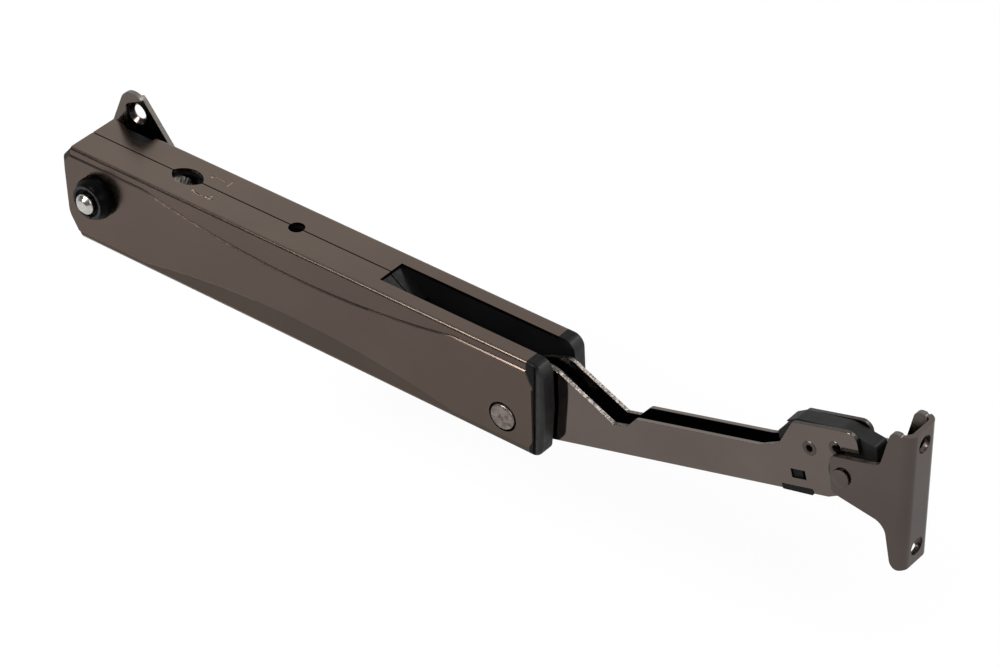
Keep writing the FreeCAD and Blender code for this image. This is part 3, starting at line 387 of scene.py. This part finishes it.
def moulded_plastic(name, colour, roughness, specular=0.35):
    """Moulded plastic with the mould's fine spark-eroded texture and faint flow marks."""
    material, tree, shader = start_material(name, 0.0, **{"Specular IOR Level": specular})
    plain = object_coordinates(tree)
    flow = noise(tree, object_coordinates(tree, scale=(1.0, 2.4, 1.0)), 70.0)
    tone = tinted(tree, between(tree, flow, (0.3, 0.7), (0.0, 1.0)),
                  shaded(colour, 0.8), shaded(colour, 1.25))
    tree.links.new(tone, shader.inputs["Base Color"])
    gloss = between(tree, noise(tree, plain, 640.0), (0.3, 0.7),
                    (roughness * 0.85, roughness * 1.15))
    tree.links.new(gloss, shader.inputs["Roughness"])
    uneven(tree, shader, noise(tree, plain, 5200.0, detail=2.0), 0.25, 0.00003)
    return material


MATERIALS = {}


def make_materials(finishes):
    """All finishes, made at the first call and shared."""
    if MATERIALS:
        return MATERIALS
    lacquer = {"grain": (0.12, 1.0, 1.0), "cloud": 0.05, "scratch": 0.12, "peel": 0.02}
    cover, nickel, cut_edge = finishes.cover, finishes.nickel, finishes.cut_edge
    pin, black, grey = finishes.pin, finishes.black, finishes.grey
    MATERIALS.update(
        # The cover's fade is painted shade, darker towards the lid bracket's end
        cover=plated_steel("cover_metal", cover, 0.23, shade_fade=0.16, **lacquer),
        # Painted shade: a near-black copy of the cover's lacquer for the side panel's step line
        step=plated_steel("step_line_painted_shade", shaded(cover, 0.22), 0.4, cloud=0.2),
        # Painted shade: a darker copy of the lacquer for the recessed band below the panel
        band=plated_steel("band_painted_shade", shaded(cover, 0.68), 0.25, **lacquer),
        # Bare floor of the engraved marks, and also a painted highlight on the foot's step at the
        # left
        mark=plated_steel("mark_floor_and_painted_highlight", shaded(cover, 2.6), 0.45, cloud=0.2),
        nickel=plated_steel("nickel_metal", nickel, 0.075, cloud=0.06, peel=0.02),
        bracket=plated_steel("bracket_metal", shaded(nickel, 0.71), 0.16, cloud=0.06, peel=0.03),
        plate=plated_steel("plate_metal", shaded(nickel, 0.95), 0.2, cloud=0.08),
        # Painted shade: a near-black copy of the nickel for the plate's pocket, the arm's inner
        # walls and the lid rivet's sides
        pocket=plated_steel("pocket_painted_shade", shaded(nickel, 0.12), 0.3, cloud=0.2),
        edge=sheared_steel("cut_edge", cut_edge),
        smooth_edge=sheared_steel("rolled_edge", shaded(cut_edge, 1.2), contrast=0.15),
        knuckle_edge=sheared_steel("knuckle_edge", shaded(cut_edge, 0.5), contrast=0.15),
        bright_edge=sheared_steel("plate_edge", shaded(cut_edge, 1.35), contrast=0.12),
        pin=turned_steel("pin_steel", pin, PIN),
        rivet=plated_steel("rivet_face", shaded(nickel, 1.5), 0.3, cloud=0.45, scratch=0.5,
                           peel=0.4, spots=700.0),
        zinc=plated_steel("zinc_wheel", shaded(pin, 1.35), 0.5, cloud=0.12),
        # Rolled rims of the tube rivets, and also painted shade on the lid bracket's screw-hole
        # walls
        rolled=plated_steel("rolled_rim_and_hole_shade", shaded(nickel, 0.62), 0.36, cloud=0.15),
        spring=plated_steel("spring_steel", finishes.spring, 0.35, cloud=0.25),
        black=moulded_plastic("black_plastic", black, 0.5),
        # Painted shade: a darker, less glossy copy of the black plastic for the liners' insides and
        # joint and for the knuckle insert
        dark=moulded_plastic("black_plastic_painted_shade", shaded(black, 0.5), 0.42, specular=0.1),
        # Painted shade: a darker, duller copy of the black plastic for the bush and its collar's
        # sides
        flank=moulded_plastic("collar_flank_painted_shade", shaded(black, 0.15), 0.3, specular=0.04),
        grey=moulded_plastic("grey_plastic", shaded(grey, 0.5), 0.38, specular=0.1),
    )
    return MATERIALS


# Modelling helpers

def bare():
    """Object mode with nothing selected."""
    if bpy.context.object is not None and bpy.context.object.mode != "OBJECT":
        bpy.ops.object.mode_set(mode="OBJECT")
    bpy.ops.object.select_all(action="DESELECT")


def only(piece):
    """Selects one object alone and makes it active."""
    bare()
    piece.select_set(True)
    bpy.context.view_layer.objects.active = piece


def copy_of(node, name):
    """A copy of a CAD node, merged to one closed mesh of whole faces."""
    only(frame["nodes"][node])
    bpy.ops.object.duplicate()
    piece = bpy.context.object
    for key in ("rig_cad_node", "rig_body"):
        if key in piece:
            del piece[key]
    piece.parent = None
    piece.name = name
    piece.data.name = name
    piece.data.materials.clear()
    if piece.data.has_custom_normals:
        bpy.ops.mesh.customdata_custom_splitnormals_clear()
    bpy.ops.object.mode_set(mode="EDIT")
    bpy.ops.mesh.select_all(action="SELECT")
    bpy.ops.mesh.remove_doubles(threshold=0.000001)
    bpy.ops.mesh.dissolve_limited(angle_limit=math.radians(0.3))
    bpy.ops.object.mode_set(mode="OBJECT")
    return piece


def break_edges(piece, width, angle, segments):
    """Rounds every sharp edge a little and shades the piece smooth."""
    only(piece)
    bevel = piece.modifiers.new("Broken edges", "BEVEL")
    bevel.width = width
    bevel.segments = segments
    bevel.limit_method = "ANGLE"
    bevel.angle_limit = math.radians(angle)
    bevel.use_clamp_overlap = True
    bpy.ops.object.modifier_apply(modifier=bevel.name)
    smooth(piece)


def settled(name):
    """Names the new object and leaves it at the origin, untransformed."""
    piece = bpy.context.object
    piece.name = name
    piece.data.name = name
    bpy.ops.object.transform_apply(location=True, rotation=True, scale=True)
    return piece


def block(middle, size, turn=(0.0, 0.0, 0.0)):
    """A box with its middle and its edge lengths given."""
    bare()
    bpy.ops.mesh.primitive_cube_add(size=1.0, location=middle, rotation=turn, scale=size)
    return settled("block")


def round_bar(centre, radius, y0, y1):
    """A cylinder across the stay."""
    bare()
    bpy.ops.mesh.primitive_cylinder_add(vertices=96, radius=radius, depth=y1 - y0,
                                        location=(centre.x, (y0 + y1) / 2, centre.z),
                                        rotation=(math.pi / 2, 0.0, 0.0))
    return settled("round_bar")


def turned(name, centre, profile, sides, ring=False):
    """A part turned about an axis across the stay, through (radius, y) steps. Its ends are
    capped, or a ring is closed from the last step to the first."""
    bare()
    radius, y = profile[0]
    bpy.ops.mesh.primitive_circle_add(vertices=sides, radius=radius, fill_type="NOTHING",
                                      location=(centre.x, y, centre.z),
                                      rotation=(math.pi / 2, 0.0, 0.0))
    piece = settled(name)
    bpy.ops.object.mode_set(mode="EDIT")
    bpy.ops.mesh.select_all(action="SELECT")
    steps = profile[1:] + (profile[:1] if ring else [])
    for new_radius, new_y in steps:
        bpy.ops.mesh.extrude_region_move(
            TRANSFORM_OT_translate={"value": (0.0, new_y - y, 0.0)})
        scale = new_radius / radius
        bpy.ops.transform.resize(value=(scale, 1.0, scale),
                                 center_override=(centre.x, new_y, centre.z))
        radius, y = new_radius, new_y
    bpy.ops.mesh.select_all(action="SELECT")
    if ring:
        bpy.ops.mesh.remove_doubles(threshold=0.0000005)
    else:
        bpy.ops.mesh.fill_holes(sides=0)
    bpy.ops.mesh.select_all(action="SELECT")
    bpy.ops.mesh.normals_make_consistent(inside=False)
    bpy.ops.object.mode_set(mode="OBJECT")
    return piece


def cut(piece, tool):
    """Cuts the tool out of the piece and takes the tool away."""
    only(piece)
    joint = piece.modifiers.new("Cut", "BOOLEAN")
    joint.operation = "DIFFERENCE"
    joint.solver = "EXACT"
    joint.use_self = True
    joint.object = tool
    bpy.ops.object.modifier_apply(modifier=joint.name)
    only(tool)
    bpy.ops.object.delete()


def joined(pieces):
    """Several loose objects as one."""
    only(pieces[0])
    for piece in pieces[1:]:
        piece.select_set(True)
    bpy.ops.object.join()
    return bpy.context.object


def smooth(piece, angle=28.0):
    """Shades the piece smooth up to an angle and keeps its large faces flat."""
    only(piece)
    bpy.ops.object.shade_smooth_by_angle(angle=math.radians(angle))
    flat = piece.modifiers.new("Flat faces", "WEIGHTED_NORMAL")
    flat.weight = 100
    flat.keep_sharp = True
    bpy.ops.object.modifier_apply(modifier=flat.name)


def give(piece, *materials):
    """Sets the piece's material slots."""
    piece.data.materials.clear()
    for material in materials:
        piece.data.materials.append(material)


def along_sheet(face):
    """Whether the face looks along the sheet, as one does that the press has cut."""
    return abs(face.normal.y) < 0.35


def stand_for(piece, slot, *nodes):
    """The piece stands for these nodes and moves with their body; the slot is not used."""
    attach(piece, frame["nodes"][nodes[0]]["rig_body"])
    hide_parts(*nodes)


def dress(node, name, width, material, slot, angle=35.0, segments=2):
    """A CAD node's copy with broken edges, in its material, standing for the node."""
    piece = copy_of(node, name)
    break_edges(piece, width, angle, segments)
    give(piece, material)
    stand_for(piece, slot, node)
    return piece


# Operators

class LIDSTAY_OT_covers(bpy.types.Operator):
    """Pressed steel covers with broken edges and the engraved turning marks of the adjuster."""
    bl_idname = "lidstay.covers"
    bl_label = "Covers"

    def slot_of(self, face):
        """Lacquer (0), the step painted dark as shade (1), a bare mark floor or the foot's step
        painted light as a highlight (2), or the band painted darker as shade (3).
        """
        x, z = face.center.x, face.center.z
        depth = PANEL_FACE - abs(face.center.y - SEAM_Y)
        level = abs(face.normal.y) > 0.995
        step = depth < STEP_DEPTH and not level and abs(face.normal.y) > 0.05
        sunk = MARK_FLOOR[0] < z < MARK_FLOOR[1] and abs(x - MARK_X) < MARK_REACH
        foot = z < FOOT_TOP
        # Painted shade on the step: at the left below the fold, and along the foot past
        # DARK_FOOT_START
        if step and ((x < DARK_STEP_END and 0.0 < z < STEP_TOP) or (foot and x > DARK_FOOT_START)):
            return 1
        # Painted highlight: the foot's step at the left takes the light mark colour
        if (step and foot) or (sunk and face.normal.z > 0.9):
            return 2
        # Painted shade on the recessed band at the foot
        if level and foot and BAND_DEPTH[0] < depth < BAND_DEPTH[1]:
            return 3
        return 0

    def turning_mark(self, sizes, way, plus):
        """Cutters of a curved arrow and of its plus or minus, on one side of the seam."""
        stroke, deep = sizes.mark_stroke, 2 * sizes.mark_depth
        centre = Vector((MARK_X, SEAM_Y, TOP))

        def on_arc(angle):
            return centre + Vector((math.cos(angle) * ARC_RADIUS,
                                    way * math.sin(angle) * ARC_RADIUS, 0.0))

        cutters = []
        for i in range(ARC_STEPS):
            angle = math.radians(ARC_START + ARC_SWEEP * i / (ARC_STEPS - 1))
            cutters.append(block(on_arc(angle), (ARC_PIECE, stroke, deep),
                                 (0.0, 0.0, way * (angle + math.pi / 2))))
        for lean in (-BARB_LEAN, BARB_LEAN):
            turn = way * (TIP_ANGLE + math.pi / 2 + lean)
            back = Vector((math.cos(turn), math.sin(turn), 0.0)) * BARB_BACK
            cutters.append(block(on_arc(TIP_ANGLE) - back, (BARB_LENGTH, stroke, deep),
                                 (0.0, 0.0, turn)))
        sign = centre + Vector((SIGN_AHEAD, way * SIGN_OUT, 0.0))
        cutters.append(block(sign, (stroke * SIGN_BOLD, SIGN_LENGTH, deep)))
        if plus:
            cutters.append(block(sign, (SIGN_LENGTH, stroke * SIGN_BOLD, deep)))
        return cutters

    def execute(self, context):
        sizes = context.scene.lidstay_sizes
        made = make_materials(context.scene.lidstay_finishes)
        for side, way in BOTH_SIDES:
            sheet = dress(f"{side}_cover", f"{side}_cover_sheet", sizes.sheet_edge,
                          made["cover"], "cover_metal")
            for cutter in self.turning_mark(sizes, way, plus=side == "near"):
                cut(sheet, cutter)
            if side == "near":
                panel = out(way, PANEL_FACE)
                cut(sheet, round_bar(RIVET, RIVET_HOLE, panel - MM, panel + 2 * MM))
            smooth(sheet)
            give(sheet, made["cover"], made["step"], made["mark"], made["band"])
            for face in sheet.data.polygons:
                face.material_index = self.slot_of(face)
        return {"FINISHED"}


class LIDSTAY_OT_liners(bpy.types.Operator):
    """Moulded halves inside the covers, with end block and cheeks."""
    bl_idname = "lidstay.liners"
    bl_label = "Liners"

    def execute(self, context):
        sizes = context.scene.lidstay_sizes
        made = make_materials(context.scene.lidstay_finishes)
        for side, way in BOTH_SIDES:
            liner = dress(f"{side}_liner", f"{side}_liner_moulding", sizes.plastic_edge,
                          made["black"], "black_plastic")
            sheet_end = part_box(f"{side}_cover")[1].x
            groove = (sheet_end + GROOVE_AHEAD,
                      out(way, PANEL_FACE - GROOVE_DEPTH + GROOVE_CUTTER / 2), 0.0)
            cut(liner, block(groove, (GROOVE_WIDTH, GROOVE_CUTTER, 60.0 * MM)))
            smooth(liner)
            give(liner, made["black"], made["dark"])
            for face in liner.data.polygons:
                x, y, z = face.center
                # Painted shade inside the housing and where the liner meets the covers' end
                inside = abs(y - SEAM_Y) < INSIDE_HALF and z < INSIDE_TOP
                joint = sheet_end - JOINT_BACK < x < sheet_end + JOINT_AHEAD
                face.material_index = 1 if inside or joint else 0
        return {"FINISHED"}


class LIDSTAY_OT_cabinet_plate(bpy.types.Operator):
    """Rhombic cabinet plate, its stud and the plastic bush on it."""
    bl_idname = "lidstay.cabinet_plate"
    bl_label = "Cabinet plate and pivot"

    def bush(self, sizes, made):
        """The pivot's bush, its CAD collar exchanged for the rounded, slit one."""
        near = out(-1, PANEL_FACE)
        bush = copy_of("pivot_bush", "pivot_bush_moulding")
        cut(bush, round_bar(PIN, CAD_COLLAR_RADIUS, near - CAD_COLLAR_REACH, near))
        collar = turned("pivot_collar", PIN,
                        [(radius * MM, near - reach * MM) for radius, reach in COLLAR],
                        sizes.turned_sides, ring=True)
        for turn in COLLAR_SLITS:
            angle = math.radians(turn)
            middle = (PIN.x + math.cos(angle) * SLIT_RADIUS, near - SLIT_REACH,
                      PIN.z + math.sin(angle) * SLIT_RADIUS)
            cut(collar, block(middle, SLIT_SIZE, (0.0, -angle, 0.0)))
        piece = joined([bush, collar])
        smooth(piece, 40.0)
        # The bush and the collar's sides take the painted-shade black; the collar's front keeps the
        # black plastic
        give(piece, made["flank"], made["black"])
        for face in piece.data.polygons:
            if face.normal.y < -0.8 and face.center.y < near - SLIT_REACH:
                face.material_index = 1
        stand_for(piece, "black_plastic", "pivot_bush")

    def execute(self, context):
        sizes = context.scene.lidstay_sizes
        made = make_materials(context.scene.lidstay_finishes)
        plate = dress("cabinet_bracket", "cabinet_plate", sizes.plate_edge,
                      made["plate"], "plate_metal")
        give(plate, made["plate"], made["bright_edge"], made["pocket"])
        low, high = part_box("cabinet_bracket")
        for face in plate.data.polygons:
            sunk = low.y + 0.5 * MM < face.center.y < high.y - 1.0 * MM
            if along_sheet(face):
                face.material_index = 1
            # Painted shade on the sunk face of the plate's pocket
            elif sunk and face.normal.y < -0.9:
                face.material_index = 2
        dress("pivot_pin", "pivot_stud", sizes.pin_edge, made["pin"], "pin_steel",
              angle=25.0, segments=6)
        self.bush(sizes, made)
        return {"FINISHED"}


class LIDSTAY_OT_arm(bpy.types.Operator):
    """Folding arm with its rivets and the insert in its knuckle."""
    bl_idname = "lidstay.arm"
    bl_label = "Arm"

    def housing_rivet(self, sizes, made):
        """Rivet that the arm turns on, with a proud, rounded head on the near side."""
        near = out(-1, PANEL_FACE + sizes.head_proud)
        inner = out(-1, PANEL_FACE) + 0.1 * MM + ARM_HEAD_THICK
        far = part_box("arm_rivet")[1].y
        profile = [
            (CORE, near), (ARM_HEAD - 0.5 * MM, near), (ARM_HEAD - 0.18 * MM, near + 0.14 * MM),
            (ARM_HEAD, near + 0.5 * MM), (ARM_HEAD, inner), (ARM_SHANK, inner),
            (ARM_SHANK, far - ARM_HEAD_THICK), (ARM_HEAD, far - ARM_HEAD_THICK),
            (ARM_HEAD, far - 0.3 * MM), (ARM_HEAD - 0.3 * MM, far), (CORE, far)]
        rivet = turned("arm_rivet_head", RIVET, profile, sizes.turned_sides)
        smooth(rivet, 40.0)
        give(rivet, made["rivet"])
        stand_for(rivet, "nickel_metal", "arm_rivet")

    def tube_rivets(self, made):
        """Tubular rivets across the knuckle, flared over its walls in a rolled rim."""
        wall = KNUCKLE_FACE + 0.02 * MM
        end = [(TUBE, KNUCKLE_FACE - 0.12 * MM), (TUBE + 0.06 * MM, wall), (FLARE, wall),
               (FLARE - 0.16 * MM, KNUCKLE_FACE + RIM), (BORE + 0.42 * MM, KNUCKLE_FACE + RIM),
               (BORE + 0.12 * MM, wall), (BORE, KNUCKLE_FACE - 0.4 * MM)]
        profile = [(radius, out(-1, reach)) for radius, reach in end]
        profile += [(radius, out(1, reach)) for radius, reach in reversed(end)]
        pair = []
        for back, up, hidden in TUBE_RIVETS:
            centre = arm_point(ARM_LENGTH - back * MM, up * MM)
            rivet = turned("knuckle_tube_rivets", centre, profile, TUBE_SIDES, ring=True)
            if hidden:
                for way in (-1, 1):
                    room = (centre.x + 2.3 * MM, out(way, KNUCKLE_FACE), centre.z)
                    cut(rivet, block(room, (4.0 * MM, 2.6 * MM, 6.0 * MM)))
            pair.append(rivet)
        rivets = joined(pair)
        smooth(rivets, 35.0)
        give(rivets, made["rolled"])
        stand_for(rivets, "nickel_metal", "tube_rivets")

    def execute(self, context):
        sizes = context.scene.lidstay_sizes
        made = make_materials(context.scene.lidstay_finishes)
        arm = dress("arm", "arm_channel", sizes.arm_edge, made["nickel"], "nickel_metal",
                    segments=3)
        give(arm, made["nickel"], made["edge"], made["knuckle_edge"], made["pocket"])
        knuckle = arm_point(ARM_LENGTH - KNUCKLE_BACK, 0.0).x
        for face in arm.data.polygons:
            # Painted shade on the faces of the arm's walls that look inwards
            if face.normal.y * (SEAM_Y - face.center.y) > 0.5 * MM:
                face.material_index = 3
            elif along_sheet(face) and face.area < CUT_FACE:
                face.material_index = 2 if face.center.x > knuckle else 1
        self.housing_rivet(sizes, made)
        self.tube_rivets(made)
        # The knuckle insert takes the painted-shade black
        dress("clip_insert", "knuckle_insert", sizes.plastic_edge, made["dark"], "black_plastic")
        return {"FINISHED"}


class LIDSTAY_OT_lever(bpy.types.Operator):
    """Release lever in the knuckle."""
    bl_idname = "lidstay.lever"
    bl_label = "Release lever"

    def execute(self, context):
        sizes = context.scene.lidstay_sizes
        made = make_materials(context.scene.lidstay_finishes)
        lever = dress("release_lever", "release_lever_moulding", sizes.plastic_edge,
                      made["grey"], "grey_plastic", segments=3)
        groove = arm_point(*LEVER_GROOVE)
        cut(lever, block(groove, LEVER_GROOVE_SIZE, (0.0, -ARM_ANGLE, 0.0)))
        smooth(lever)
        return {"FINISHED"}


class LIDSTAY_OT_lid_bracket(bpy.types.Operator):
    """Folded lid bracket, its rivet and washers."""
    bl_idname = "lidstay.lid_bracket"
    bl_label = "Lid bracket"

    def bracket(self, sizes, made, centre):
        """The folded sheet, with a recess for the rivet's far head."""
        bracket = dress("lid_bracket", "lid_bracket_folded", sizes.plate_edge,
                        made["bracket"], "nickel_metal")
        far = out(1, BRACKET_FACE)
        cut(bracket, round_bar(centre, sizes.lid_head + LID_HEAD_GAP, far - LID_HEAD_DEPTH,
                               far + MM))
        smooth(bracket)
        give(bracket, made["bracket"], made["smooth_edge"], made["rolled"])
        plate_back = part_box("lid_bracket")[1].x - PLATE_DEPTH
        for face in bracket.data.polygons:
            if face.center.x < plate_back:
                on_top = face.normal.z > 0.7 and face.area < TOP_STRIP
                if along_sheet(face) and (face.area < SMALL_STRIP or on_top):
                    face.material_index = 1
            else:
                off = abs(abs(face.center.z - centre.z) - HOLE_OFFSET)
                in_hole = off < HOLE_REACH and abs(face.center.y - SEAM_Y) < HOLE_REACH
                # Painted shade: the screw holes' walls take the darker rolled finish
                if in_hole and abs(face.normal.x) < 0.9:
                    face.material_index = 2

    def rivet(self, sizes, made, centre):
        """The rivet that the bracket turns on: proud on the near side, flush on the far side."""
        near, far = out(-1, BRACKET_FACE), out(1, BRACKET_FACE)
        proud = near - sizes.lid_head_proud
        under = near - 0.01 * MM
        head = sizes.lid_head
        profile = [
            (CORE, proud), (head - 0.35 * MM, proud), (head - 0.1 * MM, proud + 0.08 * MM),
            (head, proud + 0.3 * MM), (head, under), (LID_SHANK, under),
            (LID_SHANK, far - LID_HEAD_DEPTH), (head, far - LID_HEAD_DEPTH),
            (head, far - 0.1 * MM), (head - 0.3 * MM, far), (CORE, far)]
        rivet = turned("lid_rivet_peened", centre, profile, sizes.turned_sides)
        smooth(rivet, 40.0)
        give(rivet, made["bracket"], made["pocket"])
        for face in rivet.data.polygons:
            # Painted shade on the rivet's sides
            if abs(face.normal.y) < 0.3:
                face.material_index = 1
        stand_for(rivet, "nickel_metal", "lid_rivet")

    def execute(self, context):
        sizes = context.scene.lidstay_sizes
        made = make_materials(context.scene.lidstay_finishes)
        centre = arm_point(ARM_LENGTH, 0.0)
        self.bracket(sizes, made, centre)
        self.rivet(sizes, made, centre)
        dress("lid_washers", "lid_washers_moulded", sizes.washer_edge, made["black"],
              "black_plastic")
        return {"FINISHED"}


class LIDSTAY_OT_drive(bpy.types.Operator):
    """Finishes of the adjuster, springs, slider, roller and cam inside the housing."""
    bl_idname = "lidstay.drive"
    bl_label = "Spring drive"

    def execute(self, context):
        made = make_materials(context.scene.lidstay_finishes)
        finishes = {
            "zinc": ("adjusting_screw",),
            "pin": ("guide_rod", "roller", "roller_pin", "cam_plate", "cam_rivet"),
            "spring": ("upper_spring", "lower_spring"),
            "black": ("adjuster_block", "spring_seat", "slider", "arm_bush")}
        for finish, nodes in finishes.items():
            for node in nodes:
                give(frame["nodes"][node], made[finish])
        return {"FINISHED"}


class LIDSTAY_OT_studio(bpy.types.Operator):
    """Pale floor, soft lamps, world and camera."""
    bl_idname = "lidstay.studio"
    bl_label = "Studio"

    def floor(self):
        """White to the camera but for the stay's shadow, and dimmer in the metal's reflections."""
        bare()
        bpy.ops.mesh.primitive_plane_add(size=FLOOR_SIZE, location=FLOOR_PLACE)
        floor = bpy.context.object
        floor.name = "studio_floor"
        material, tree, shader = start_material("studio_floor", 0.0, Roughness=0.9)
        shade = noise(tree, object_coordinates(tree), 2.0)
        glow = node_with(tree, "ShaderNodeEmission", Color=(1, 1, 1, 1), Strength=1.0)
        path = tree.nodes.new("ShaderNodeLightPath")
        paper = tinted(tree, shade, (0.86, 0.86, 0.86), (0.88, 0.88, 0.88))
        dimmed = between(tree, path.outputs["Is Glossy Ray"], (0.0, 1.0), (1.0, FLOOR_IN_MIRROR))
        tree.links.new(scaled(tree, paper, dimmed), shader.inputs["Base Color"])
        seen = operation_node(tree, "ShaderNodeMath", "MULTIPLY")
        seen.inputs[1].default_value = FLOOR_GLOW
        tree.links.new(path.outputs["Is Camera Ray"], seen.inputs[0])
        mixed(tree, seen.outputs[0], shader, glow, tree.nodes["Material Output"])
        floor.data.materials.append(material)

    def world(self, scene):
        """White behind the stay, soft light on it, and darker reflections towards the front."""
        world = bpy.data.worlds.new("studio_world")
        scene.world = world
        world.use_nodes = True
        tree = world.node_tree
        tree.nodes.clear()
        lit, white, mirrored = (
            node_with(tree, "ShaderNodeBackground", Color=(1, 1, 1, 1), Strength=strength)
            for strength in (0.55, 1.0, 1.0))
        way = tree.nodes.new("ShaderNodeTexCoord")
        apart = tree.nodes.new("ShaderNodeSeparateXYZ")
        tree.links.new(way.outputs["Generated"], apart.inputs["Vector"])
        tree.links.new(between(tree, apart.outputs["Y"], (-0.45, 0.15), (0.10, 1.0)),
                       mirrored.inputs["Strength"])
        path = tree.nodes.new("ShaderNodeLightPath")
        clear = operation_node(tree, "ShaderNodeMath", "MAXIMUM")
        tree.links.new(path.outputs["Is Camera Ray"], clear.inputs[0])
        tree.links.new(path.outputs["Is Transmission Ray"], clear.inputs[1])
        around = mixed(tree, path.outputs["Is Glossy Ray"], lit, mirrored)
        mixed(tree, clear.outputs[0], around, white, tree.nodes.new("ShaderNodeOutputWorld"))

    def lamps(self):
        """Soft rectangular lamps that look at the stay."""
        for name, way, distance, width, height, watts in LAMPS:
            place = STAY_MIDDLE + Vector(way).normalized() * distance
            bpy.ops.object.light_add(type="AREA", location=place)
            lamp = bpy.context.object
            lamp.name = f"lamp_{name}"
            lamp.data.shape = "RECTANGLE"
            lamp.data.size = width
            lamp.data.size_y = height
            lamp.data.energy = watts
            lamp.rotation_euler = (lamp.location - STAY_MIDDLE).to_track_quat("Z", "Y").to_euler()

    def execute(self, context):
        scene = context.scene
        scene.view_settings.view_transform = "Standard"
        self.floor()
        self.world(scene)
        self.lamps()
        bpy.ops.object.camera_add(location=CAMERA_PLACE,
                                  rotation=[math.radians(turn) for turn in CAMERA_TURN])
        scene.camera = context.object
        scene.camera.data.sensor_width = SENSOR_WIDTH
        scene.camera.data.lens = LENS
        return {"FINISHED"}


class LIDSTAY_PT_panel(bpy.types.Panel):
    """Lists the sizes, the finishes and the steps that dress the stay."""
    bl_idname = "LIDSTAY_PT_panel"
    bl_label = "Lid stay"
    bl_space_type = "VIEW_3D"
    bl_region_type = "UI"
    bl_category = "Lid stay"

    def draw(self, context):
        layout = self.layout
        for group in (context.scene.lidstay_sizes, context.scene.lidstay_finishes):
            for key in group.__annotations__:
                layout.prop(group, key)
        for step in STEPS:
            layout.operator(step.bl_idname)


STEPS = (LIDSTAY_OT_studio, LIDSTAY_OT_covers, LIDSTAY_OT_liners, LIDSTAY_OT_cabinet_plate,
         LIDSTAY_OT_arm, LIDSTAY_OT_lever, LIDSTAY_OT_lid_bracket, LIDSTAY_OT_drive)
CLASSES = (LidStaySizes, LidStayFinishes, *STEPS, LIDSTAY_PT_panel)


def register():
    for cls in CLASSES:
        bpy.utils.register_class(cls)
    bpy.types.Scene.lidstay_sizes = PointerProperty(type=LidStaySizes)
    bpy.types.Scene.lidstay_finishes = PointerProperty(type=LidStayFinishes)


def unregister():
    del bpy.types.Scene.lidstay_finishes
    del bpy.types.Scene.lidstay_sizes
    for cls in reversed(CLASSES):
        bpy.utils.unregister_class(cls)


def main():
    register()
    bpy.ops.lidstay.studio()
    bpy.ops.lidstay.covers()
    bpy.ops.lidstay.liners()
    bpy.ops.lidstay.cabinet_plate()
    bpy.ops.lidstay.arm()
    bpy.ops.lidstay.lever()
    bpy.ops.lidstay.lid_bracket()
    bpy.ops.lidstay.drive()


if __name__ == "__main__":
    main()
